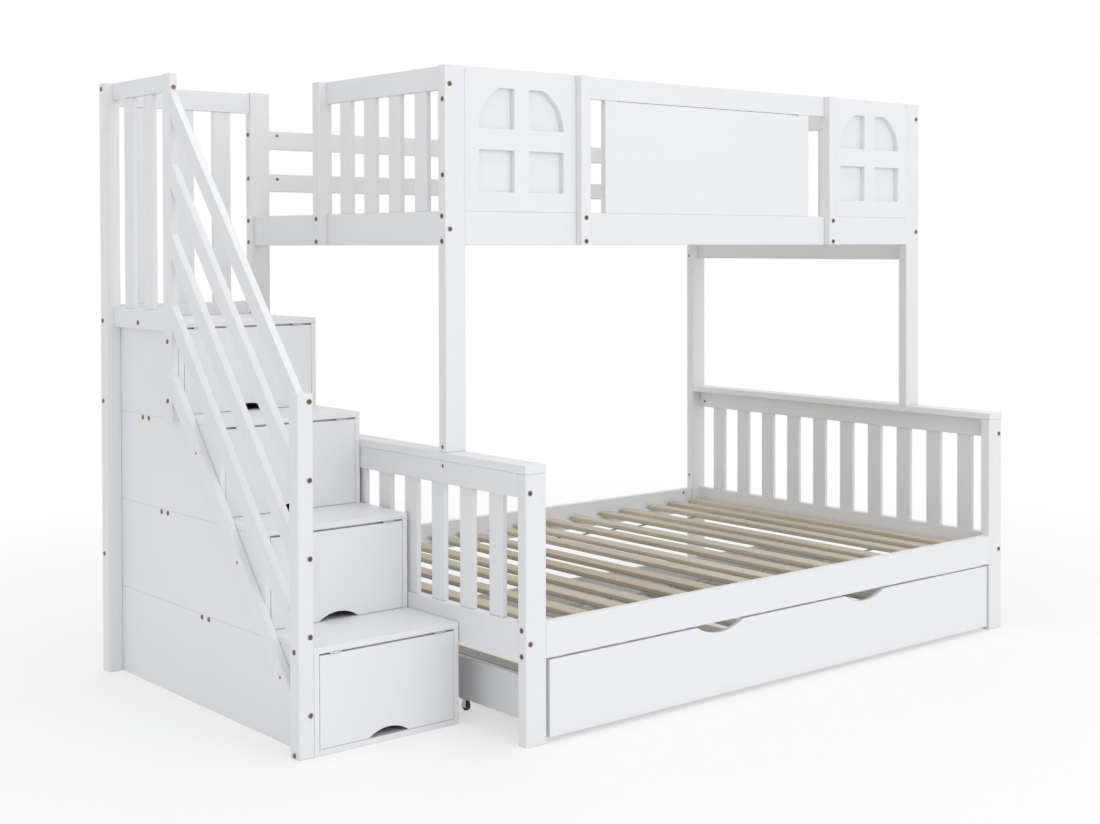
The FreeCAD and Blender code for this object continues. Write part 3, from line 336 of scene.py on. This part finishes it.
def sharp_edges(bm, shortest=HOLE_EDGE, degrees=40):
    """The boards' own corners, without the short edges round a bolt hole."""
    return [e for e in bm.edges if e.is_manifold and e.calc_length() > shortest
            and e.calc_face_angle(0) > math.radians(degrees)]


def put(bm, name, body, materials, stands_for=()):
    """Close a mesh into a piece of the bed that rides on its body."""
    number_boards(bm, name)
    mesh = bpy.data.meshes.new(name)
    bm.to_mesh(mesh)
    bm.free()
    piece = bpy.data.objects.new(name, mesh)
    bpy.context.scene.collection.objects.link(piece)
    for material in materials:
        mesh.materials.append(material)
    if stands_for:
        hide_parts(*stands_for)
    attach(piece, body)


def dress(cad_node, material, radius, body="frame", shortest=HOLE_EDGE):
    """The boards of one CAD node with their edges eased and their finish on."""
    bm = cad_copy(cad_node)
    ease_edges(bm, sharp_edges(bm, shortest), radius)
    put(bm, cad_node + "_made", body, [material], [cad_node])


POST_EASE = 0.0025
dress("front_posts", PAINT_Z, POST_EASE)
dress("rear_posts", PAINT_Z, POST_EASE)


# ---------------------------------------------------------------- head and foot ends
# Each end of the lower bed is a wide cap board over a top rail, a bottom rail and ten
# upright slats.  The slats are let into the rails and glued, and the cap is glued on last.
WIDE_EASE, SLIM_EASE, LATH_EASE = 0.0022, 0.0018, 0.0016
dress("end_caps", PAINT_Y, WIDE_EASE)
dress("end_rails_lower", PAINT_Y, SLIM_EASE)
dress("end_slats_lower", PAINT_Z, LATH_EASE)


# ---------------------------------------------------------------- long rails of the bed
# Two planed pine side rails hang between the posts, each with a batten glued and screwed
# inside it for the slats to lie on.
BATTEN_EASE = 0.0012
dress("side_rails_lower", PAINT_X, WIDE_EASE)
dress("ledgers_lower", PAINT_X, BATTEN_EASE)


# ---------------------------------------------------------------- slats of the bed
# Sixteen loose slats of unpainted poplar lie across the battens, not quite evenly spaced.
# Their long edges are rounded over, their corners are clipped round, and they keep the
# grey beige of bare wood.
def stretched(tree, at, scale):
    """A place that is read finer along some axes than along others."""
    return node_in(tree, "ShaderNodeMapping", {"Vector": at, "Scale": scale}).outputs[0]


def bare_grain():
    """Bare wood: streaks along the board, soft growth rings and short open pores."""
    group, given, result = finish_group("bare_grain", {
        "At": "Vector", "Board": "Float", "Eased": "Float", "Early Wood": "Color",
        "Late Wood": "Color"})
    at = own_place(group, given["At"], given["Board"], (9.1, 4.7, 6.3))
    streak = noise(group, stretched(group, at, (70, 1.6, 70)), 1, 6, Roughness=0.62,
                   Distortion=0.8)
    ring = node_in(group, "ShaderNodeTexWave", {
        "Vector": stretched(group, at, (1, 0.05, 1)), "Scale": 22, "Distortion": 5,
        "Detail": 3, "Detail Scale": 1.4}, wave_type="BANDS", bands_direction="X")
    pore = noise(group, stretched(group, at, (900, 34, 900)), 1, 3)
    pores = ranged(group, pore, 0, 1, 0.58, 0.72)
    lot = ranged(group, given["Board"], -0.28, 0.18)
    # The rounded edges are painted a little darker as painted shade, where they turn from the
    # light.
    dark = laid_over(group, 0.0, (ring.outputs["Fac"], 0.30), (streak, 0.75), (pores, 0.22),
                     (lot, 1.0), (given["Eased"], 0.25), clamp=True)
    group.links.new(tone_between(group, dark, given["Early Wood"], given["Late Wood"]),
                    result["Color"])
    group.links.new(ranged(group, streak, 0.62, 0.80), result["Roughness"])
    group.links.new(dark, result["Height"])
    return group


BARE_GRAIN = bare_grain()


def slat_wood(name, early, late):
    """Bare slat wood between two tones."""
    material, tree = bare_material(name)
    grain = node_in(tree, "ShaderNodeGroup", {
        "At": place_on(tree), "Board": mark_on(tree, "board"),
        "Eased": mark_on(tree, "eased"), "Early Wood": early, "Late Wood": late},
        node_tree=BARE_GRAIN).outputs
    lay_finish(tree, {"Base Color": grain["Color"], "Roughness": grain["Roughness"],
                      "IOR": 1.45}, grain["Height"], 0.5, 0.0003, sunk=True)
    return material


slat_material = slat_wood("bare_slat_wood", early=(0.665, 0.600, 0.500, 1),
                          late=(0.460, 0.385, 0.290, 1))
SLAT_CORNER_R, SLAT_ROUND_R = 0.013, 0.0035
THINNEST_SLAT = 0.010


def lay_slats(cad_node, body="frame", wood=slat_material):
    """A row of slats: corners clipped round first, then all long edges rounded over."""
    bm = cad_copy(cad_node)
    upright = [e for e in bm.edges
               if abs(e.verts[0].co.z - e.verts[1].co.z) > THINNEST_SLAT]
    ease_edges(bm, upright, SLAT_CORNER_R, steps=5)
    ease_edges(bm, sharp_edges(bm, shortest=0, degrees=60), SLAT_ROUND_R)
    put(bm, cad_node + "_made", body, [wood], [cad_node])


lay_slats("slats_lower")


# ---------------------------------------------------------------- straps under the slats
# Two woven grey straps under each bed keep the slats at their spacing.  They are stapled
# to every slat from below and hang slightly slack from one slat to the next.
def two_tones(tree, share, dark, light, start=0.0):
    """A tone between two colours; up to the start it is all the first."""
    ramp = node_in(tree, "ShaderNodeValToRGB", {"Fac": share})
    first, last = ramp.color_ramp.elements
    first.position = start
    first.color = dark
    last.color = light
    return ramp.outputs["Color"]


YARN_DARK, YARN_LIGHT = (0.16, 0.165, 0.17, 1), (0.42, 0.42, 0.43, 1)
strap_material, tree = bare_material("woven_strap")
at = place_on(tree)
threads = [node_in(tree, "ShaderNodeTexWave", {"Vector": at, "Scale": scale,
                                               "Distortion": 0.6},
                   bands_direction=way).outputs["Fac"] for scale, way in ((205, "Y"), (150, "X"))]
weave = times(tree, *threads)
fuzzy = laid_over(tree, weave, (noise(tree, at, 90, 4), 0.5))
lay_finish(tree, {"Base Color": two_tones(tree, fuzzy, YARN_DARK, YARN_LIGHT),
                  "Roughness": 0.85}, weave, 0.6, 0.0003)

ZINC_DULL, ZINC_BRIGHT = (0.52, 0.53, 0.54, 1), (0.74, 0.74, 0.73, 1)
steel_material, tree = bare_material("zinc_plated_steel")
at = place_on(tree)
brushed = noise(tree, stretched(tree, at, (60, 1500, 1500)), 1, 3)
lay_finish(tree, {"Base Color": two_tones(tree, noise(tree, at, 130, 4), ZINC_DULL,
                                          ZINC_BRIGHT),
                  "Roughness": ranged(tree, brushed, 0.24, 0.46), "Metallic": 1.0},
           brushed, 0.25, 0.00005)

SAME_END = 0.001
STRAP_WIDE, STRAP_THICK, STRAP_SLACK = 0.018, 0.0012, 0.0025
HAIR = 0.0001
DIP_KNOTS = (0.17, 0.33, 0.5, 0.67, 0.83)


def slat_spans(cad_node):
    """Where each slat of a row begins and ends along the bed."""
    bm = cad_copy(cad_node)
    along = sorted(vert.co.x for vert in bm.verts)
    bm.free()
    ends = [x for x, before in zip(along, [along[0] - 1] + along) if x - before > SAME_END]
    return list(zip(ends[0::2], ends[1::2]))


def slack_strap(bm, spans, y_low, y_high, top):
    """One flat strap: tight under the slats, a shallow dip over each gap."""
    knots = []
    for (start, end), following in zip(spans, spans[1:] + [None]):
        knots += [(start + HAIR, 0.0), (end - HAIR, 0.0)]
        if following:
            gap = following[0] - end
            knots += [(end + gap * s, STRAP_SLACK * math.sin(math.pi * s)) for s in DIP_KNOTS]
    made = bmesh.ops.create_grid(bm, x_segments=len(knots) - 1, y_segments=1, size=0.5)
    columns = {}
    for vert in made["verts"]:
        columns.setdefault(round(vert.co.x, 5), []).append(vert)
    for column, (x, dip) in zip(sorted(columns), knots):
        for vert in columns[column]:
            vert.co = Vector((x, y_high if vert.co.y > 0 else y_low, top - dip))
    faces = list({face for vert in made["verts"] for face in vert.link_faces})
    bmesh.ops.recalc_face_normals(bm, faces=faces)
    if faces[0].normal.z > 0:
        bmesh.ops.reverse_faces(bm, faces=faces)
    bmesh.ops.solidify(bm, geom=faces, thickness=STRAP_THICK)


def small_box(bm, low, high, radius, steps=1):
    """A little pressed or sawn block between two corners, its edges taken off."""
    made = bmesh.ops.create_cube(bm, size=1)
    low, high = Vector(low), Vector(high)
    for vert in made["verts"]:
        vert.co = Vector(a + (c + 0.5) * (b - a) for a, b, c in zip(low, high, vert.co))
    edges = list({edge for vert in made["verts"] for edge in vert.link_edges})
    ease_edges(bm, edges, radius, steps)


STAPLE_SIDE, STAPLE_HALF, STAPLE_IN = 0.016, 0.0005, 0.004
STAPLE_PROUD, STAPLE_SUNK, STAPLE_EASE = 0.0009, 0.0002, 0.0003
strap_mesh, staple_mesh = bmesh.new(), bmesh.new()
for row, inset in (("slats_lower", 0.254), ("slats_upper", 0.229)):
    spans = slat_spans(row)
    low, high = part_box(row)
    strap_under = low.z - STRAP_THICK
    for y in (low.y + inset, high.y - inset - STRAP_WIDE):
        slack_strap(strap_mesh, spans, y, y + STRAP_WIDE, low.z - HAIR)
        for start, end in spans:
            middle = (start + end) / 2
            for x in (middle - STAPLE_SIDE, middle + STAPLE_SIDE):
                small_box(staple_mesh,
                          (x - STAPLE_HALF, y + STAPLE_IN, strap_under - STAPLE_PROUD),
                          (x + STAPLE_HALF, y + STRAP_WIDE - STAPLE_IN,
                           strap_under + STAPLE_SUNK), STAPLE_EASE)
put(strap_mesh, "straps_made", "frame", [strap_material], ["slat_straps"])
put(staple_mesh, "strap_staples", "frame", [steel_material])


# ---------------------------------------------------------------- frame of the bunk
# The bunk's front posts stand on the cap boards; its end rails, side rails and battens are
# pine like the rest and bolt to the posts.  A bearer runs across under the right end.
RAIL_EASE = 0.0020
dress("bunk_posts", PAINT_Z, POST_EASE)
dress("end_rails_upper", PAINT_Y, RAIL_EASE)
dress("side_rails_upper", PAINT_X, RAIL_EASE)
dress("ledgers_upper", PAINT_X, BATTEN_EASE)
dress("cross_bearer", PAINT_Y, RAIL_EASE)
lay_slats("slats_upper")


# ---------------------------------------------------------------- guards round the bunk
# Two plain rails guard the rear, slatted guards close the ends and stub posts are lapped
# over the rails beside each way in.  The front has a top rail over a plain board, with a
# narrow opening at both ends and a shadow groove between board and rail.
SANDED_EASE = 0.0010
dress("rear_guard_rails", PAINT_X, RAIL_EASE)
dress("end_guard_rails", PAINT_Y, SLIM_EASE)
dress("end_guard_slats", PAINT_Z, LATH_EASE)
dress("access_post", PAINT_Z, RAIL_EASE)
dress("front_stub_posts", PAINT_Z, RAIL_EASE)
dress("front_top_rail", PAINT_X, RAIL_EASE)
dress("front_board", PAINT_X, SANDED_EASE)


# ---------------------------------------------------------------- window panels
# Beside each bunk post a thick board is cut through with four panes, the upper two under
# one arch, and a thin board glued behind closes them.  The cut edges are only sanded.
PAINT_PANEL = painted("white_paint_on_panel", "Z", grain=0.35)
dress("window_frames", PAINT_PANEL, SANDED_EASE)
dress("window_backs", PAINT_PANEL, SANDED_EASE)


# ---------------------------------------------------------------- trundle
# A long low frame of painted board, with its own slats of a greyer lot of wood, rolls out
# from under the bed.  Its tall front has two arched finger cut-outs in the top edge.
FRONT_EASE = 0.0015
dress("trundle_front", PAINT_PANEL, FRONT_EASE, body="trundle")
dress("trundle_sides", PAINT_PANEL, BATTEN_EASE, body="trundle")
dress("trundle_back", PAINT_PANEL, BATTEN_EASE, body="trundle")
dress("trundle_ledgers", PAINT_X, SANDED_EASE, body="trundle")
grey_slat_material = slat_wood("grey_slat_wood", early=(0.640, 0.620, 0.590, 1),
                               late=(0.450, 0.430, 0.400, 1))
lay_slats("trundle_slats", body="trundle", wood=grey_slat_material)


# ---------------------------------------------------------------- stair boxes
# The stair is a stack of four open-fronted boxes of painted fibreboard, each one shallower
# than the one below, screwed together through their sides, with a loose-edged tread board
# on each.
PAINT_BOARD = painted("white_paint_on_fibreboard", "X", grain=0.0)
STEPS = range(1, 5)
SIDE_THICK, SHELF_THICK, BACK_THICK, BOX_EASE = 0.015, 0.016, 0.009, 0.0014
for k in STEPS:
    low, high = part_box(f"stair_box_{k}")
    in_left, in_right = low.x + SIDE_THICK, high.x - SIDE_THICK
    bm = bmesh.new()
    for corner_a, corner_b in (
            (low, (in_left, high.y, high.z)),
            ((in_right, low.y, low.z), high),
            ((in_left, low.y, low.z), (in_right, high.y, low.z + SHELF_THICK)),
            ((in_left, low.y + SHELF_THICK, high.z - SHELF_THICK), (in_right, high.y, high.z)),
            ((in_left, high.y - BACK_THICK, low.z + SHELF_THICK),
             (in_right, high.y, high.z - SHELF_THICK))):
        small_box(bm, corner_a, corner_b, BOX_EASE, 2)
    put(bm, f"stair_box_{k}_made", "frame", [PAINT_BOARD], [f"stair_box_{k}"])
dress("stair_treads", PAINT_BOARD, BOX_EASE)


# ---------------------------------------------------------------- stair doors and hinges
# Each box has an inset flap door that hangs from two small zinc butt hinges under the
# tread and swings up.  The hinge leaves are pressed, with eased edges and sunk cross-head
# screws, and an arched cut-out in the door's lower edge takes the fingers.
def turned(bm, outline, middle, axis, steps=16):
    """A turned piece: an outline of (radius, height) points spun once round an axis."""
    axis = Vector(axis).normalized()
    across = axis.orthogonal().normalized()
    verts = [bm.verts.new(Vector(middle) + across * r + axis * h) for r, h in outline]
    edges = [bm.edges.new(pair) for pair in zip(verts, verts[1:])]
    bmesh.ops.spin(bm, geom=verts + edges, cent=middle, axis=axis, steps=steps,
                   angle=math.tau, use_merge=True)
    bmesh.ops.remove_doubles(bm, verts=bm.verts, dist=0.000002)


SCREW_R = 0.0024
SUNK_HEAD = [(SCREW_R, -0.0008), (SCREW_R, 0.0001), (SCREW_R * 0.86, 0.00022),
             (SCREW_R * 0.3, 0.00026), (SCREW_R * 0.24, -0.0007), (0, -0.0009)]
LEAF_THICK, LEAF_EASE, LEAF_SHORTEST = 0.0012, 0.00022, 0.003
DOOR_LEAF_HALF, DOOR_SCREW_BACK = 0.008, 0.0115
BOX_SCREW_SIDE, BOX_SCREW_BACK = 0.013, 0.0100
leaf_screws = bmesh.new()
for k in STEPS:
    dress(f"stair_door_{k}", PAINT_BOARD, SANDED_EASE, body=f"door_{k}")
    bm = cad_copy(f"door_leaves_{k}")
    low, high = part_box(f"door_leaves_{k}")
    ease_edges(bm, sharp_edges(bm, LEAF_SHORTEST), LEAF_EASE, 2)
    on_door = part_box(f"stair_door_{k}")[1].z + LEAF_THICK
    under_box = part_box(f"stair_box_{k}")[1].z - LEAF_THICK
    for x in (low.x + DOOR_LEAF_HALF, high.x - DOOR_LEAF_HALF):
        turned(bm, SUNK_HEAD, (x, low.y + DOOR_SCREW_BACK, on_door), (0, 0, 1))
        for side in (-BOX_SCREW_SIDE, BOX_SCREW_SIDE):
            turned(leaf_screws, SUNK_HEAD, (x + side, low.y + BOX_SCREW_BACK, under_box),
                   (0, 0, -1))
    bmesh.ops.recalc_face_normals(bm, faces=bm.faces)
    put(bm, f"door_leaves_{k}_made", f"door_{k}", [steel_material],
        [f"door_leaves_{k}"])
bmesh.ops.recalc_face_normals(leaf_screws, faces=leaf_screws.faces)
put(leaf_screws, "hinge_screws", "frame", [steel_material])
dress("hinge_leaves", steel_material, LEAF_EASE, shortest=LEAF_SHORTEST)


# ---------------------------------------------------------------- stair posts and rails
# A full-height corner post, a short newel and a middle post stand against the boxes' left
# side.  A stringer and four handrail bars slope between the newel and the middle post, and
# slatted guards close the side and the rear of the landing.
SLOPE = math.atan(1.155)
PAINT_SLOPE = painted("white_paint_up_the_slope", "Y", slope=SLOPE)
dress("corner_post", PAINT_Z, POST_EASE)
dress("newel_post", PAINT_Z, POST_EASE)
dress("middle_post", PAINT_Z, RAIL_EASE)
dress("side_guard_rails", PAINT_Y, RAIL_EASE)
dress("side_guard_slats", PAINT_Z, LATH_EASE)
dress("rear_rails_stair", PAINT_X, SLIM_EASE)
dress("rear_slats_stair", PAINT_Z, LATH_EASE)
dress("stringer", PAINT_SLOPE, RAIL_EASE)
dress("handrail_bars", PAINT_SLOPE, RAIL_EASE)


# ---------------------------------------------------------------- casters
# Small black nylon wheels with a dished web turn on a steel pin.  Each sits in a pressed
# steel fork that two pan-head screws hold under a side board of the trundle.
def nylon(name, low_tone, high_tone):
    """Moulded nylon, scuffed dull where it rolls."""
    material, tree = bare_material(name)
    scuff = noise(tree, place_on(tree), 700, 5, Roughness=0.7)
    lay_finish(tree, {"Base Color": two_tones(tree, scuff, low_tone, high_tone),
                      "Roughness": ranged(tree, scuff, 0.4, 0.65)}, scuff, 0.3, 0.0001)
    return material


tyre_material = nylon("tyre_nylon", (0.018, 0.018, 0.019, 1), (0.065, 0.064, 0.062, 1))
hub_material = nylon("hub_nylon", (0.16, 0.16, 0.165, 1), (0.27, 0.27, 0.265, 1))
WHEEL_R, BORE_R, HUB_R, WEB_R = 0.014, 0.00255, 0.0052, 0.0104
WHEEL_HALF, HUB_HALF, WEB_HALF, SOFT = 0.0055, 0.0048, 0.0030, 0.0004
half = [(BORE_R, HUB_HALF), (HUB_R - SOFT, HUB_HALF), (HUB_R, HUB_HALF - SOFT),
        (HUB_R + 0.0003, WEB_HALF), (WEB_R - SOFT, WEB_HALF), (WEB_R, WEB_HALF + SOFT),
        (WEB_R + SOFT, WHEEL_HALF - 0.0003), (WEB_R + 2 * SOFT, WHEEL_HALF),
        (WHEEL_R - 0.0012, WHEEL_HALF), (WHEEL_R - 0.0005, WHEEL_HALF - SOFT),
        (WHEEL_R - 0.0001, WHEEL_HALF - 3 * SOFT), (WHEEL_R, WEB_HALF), (WHEEL_R, 0.0)]
wheel_outline = half + [(r, -h) for r, h in reversed(half[:-1])] + [half[0]]
for pair in ("front", "rear"):
    low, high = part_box(f"casters_{pair}")
    axle = Vector((0, (low.y + high.y) / 2, WHEEL_R))
    bm = bmesh.new()
    for x in (low.x + WHEEL_HALF, high.x - WHEEL_HALF):
        turned(bm, wheel_outline, (x, axle.y, axle.z), (1, 0, 0), steps=48)
    bmesh.ops.recalc_face_normals(bm, faces=bm.faces)
    for face in bm.faces:
        from_pin = (face.calc_center_median() - axle).yz.length
        face.material_index = 1 if from_pin < WEB_R + SOFT / 2 else 0
        face.smooth = from_pin > WEB_R + 0.0010
    put(bm, f"casters_{pair}_made", f"{pair}_wheels",
        [tyre_material, hub_material], [f"casters_{pair}"])

FORK_WIDE, FORK_PLATE, FORK_EASE, FORK_SHORTEST = 0.016, 0.0016, 0.0003, 0.004
PLATE_SCREW_STEP = 0.0155
PAN_HEAD = [(0, 0.0016), (0.0012, 0.0016), (0.0026, 0.0012), (0.0032, 0.0006), (0.0033, 0)]
RIVET_HEAD = [(0, 0.0008), (0.0020, 0.0007), (0.0030, 0.0003), (0.0033, 0)]
dress("caster_forks", steel_material, FORK_EASE, body="trundle",
      shortest=FORK_SHORTEST)
low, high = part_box("caster_forks")
plate_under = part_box("trundle_sides")[0].z - FORK_PLATE
bm = bmesh.new()
for outer_x, inward in ((low.x, 1), (high.x, -1)):
    middle_x, inner_x = outer_x + inward * FORK_WIDE / 2, outer_x + inward * FORK_WIDE
    for pair in ("front", "rear"):
        wheel_low, wheel_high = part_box(f"casters_{pair}")
        y = (wheel_low.y + wheel_high.y) / 2
        for step in (-PLATE_SCREW_STEP, PLATE_SCREW_STEP):
            turned(bm, PAN_HEAD, (middle_x, y + step, plate_under), (0, 0, -1))
        turned(bm, RIVET_HEAD, (outer_x, y, WHEEL_R), (-inward, 0, 0))
        turned(bm, RIVET_HEAD, (inner_x, y, WHEEL_R), (inward, 0, 0))
bmesh.ops.recalc_face_normals(bm, faces=bm.faces)
put(bm, "caster_rivets", "trundle", [steel_material])


# ---------------------------------------------------------------- bolts and cross dowels
# Every joint is pulled up by furniture bolts with a low round head and a hexagon socket,
# bronzed steel that has taken on different olive browns.  Steel cross dowels show as dark
# rounds inside the rails.
OLIVE, BROWN = (0.230, 0.215, 0.125, 1), (0.200, 0.140, 0.095, 1)
bronze_material, tree = bare_material("bronzed_steel")
tarnish = noise(tree, place_on(tree), 380, 4)
lot = laid_over(tree, mark_on(tree, "board"), (tarnish, 0.5))
lay_finish(tree, {"Base Color": two_tones(tree, lot, OLIVE, BROWN, start=0.25),
                  "Roughness": ranged(tree, tarnish, 0.20, 0.38), "Metallic": 0.75})
SOCKET_DEEPER, SOCKET_AREAS = 0.0018, (0.000018, 0.000025)
BOLT_EASE, BOLT_SHORTEST = 0.00018, 0.0004
for cad_node in ("bolts_bed", "bolts_bunk", "bolts_stairs"):
    bm = cad_copy(cad_node)
    for face in bm.faces:
        if len(face.verts) == 6 and SOCKET_AREAS[0] < face.calc_area() < SOCKET_AREAS[1]:
            bmesh.ops.translate(bm, verts=face.verts, vec=face.normal * -SOCKET_DEEPER)
    ease_edges(bm, sharp_edges(bm, BOLT_SHORTEST), BOLT_EASE, 2)
    put(bm, cad_node + "_made", "frame", [bronze_material], [cad_node])

SLOT_WIDE, SLOT_DEEP, ROUND_SIDES = 0.0014, 0.0016, 10


def cut_slots(bm):
    """A screwdriver slot across each round end that can be seen from inside or outside."""
    ends = [f for f in bm.faces if len(f.verts) > ROUND_SIDES and abs(f.normal.z) < 0.1
            and (f.normal.y < -0.9 or abs(f.normal.x) > 0.9)]
    for end in ends:
        middle = end.calc_center_bounds()
        up = Vector((0, 0, 1))
        geometry = [end] + list(end.edges) + list(end.verts)
        for sign in (-1, 1):
            made = bmesh.ops.bisect_plane(bm, geom=geometry, plane_no=up,
                                          plane_co=middle + up * sign * SLOT_WIDE / 2)
            geometry = made["geom"]
        strips = [g for g in geometry if isinstance(g, bmesh.types.BMFace)
                  and (g.calc_center_bounds() - middle).length < SLOT_WIDE / 4]
        for face in bmesh.ops.extrude_discrete_faces(bm, faces=strips)["faces"]:
            bmesh.ops.translate(bm, verts=face.verts, vec=face.normal * -SLOT_DEEP)


bm = cad_copy("cross_dowels")
cut_slots(bm)
put(bm, "cross_dowels_made", "frame", [bronze_material], ["cross_dowels"])

# Three slotted nut heads stand a little proud of the right end's inner faces, and one small
# screw holds the top tread at its front corner.
NUT_R, NUT_PROUD, NUT_IN = 0.0050, 0.0010, 0.0040
POST_WIDE, END_RAIL_THICK = 0.066, 0.028
TREAD_SCREW_IN, TREAD_SCREW_Z = 0.007, 1.062
post_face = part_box("bunk_posts")[1].x - POST_WIDE
rail_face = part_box("end_rails_lower")[1].x - END_RAIL_THICK
NUT_PLACES = ((post_face, 0.7179, 1.240), (post_face, 0.7179, 0.365),
              (rail_face, 0.6669, 0.660))
bm = bmesh.new()
for face_x, y, z in NUT_PLACES:
    middle = Matrix.Translation((face_x + (NUT_IN - NUT_PROUD) / 2, y, z))
    bmesh.ops.create_cone(bm, cap_ends=True, segments=24, radius1=NUT_R, radius2=NUT_R,
                          depth=NUT_IN + NUT_PROUD,
                          matrix=middle @ Matrix.Rotation(math.pi / 2, 4, "Y"))
cut_slots(bm)
tread_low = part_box("stair_box_4")[0]
turned(bm, PAN_HEAD, (tread_low.x + TREAD_SCREW_IN, tread_low.y, TREAD_SCREW_Z), (0, -1, 0))
bmesh.ops.recalc_face_normals(bm, faces=bm.faces)
put(bm, "small_heads", "frame", [bronze_material])
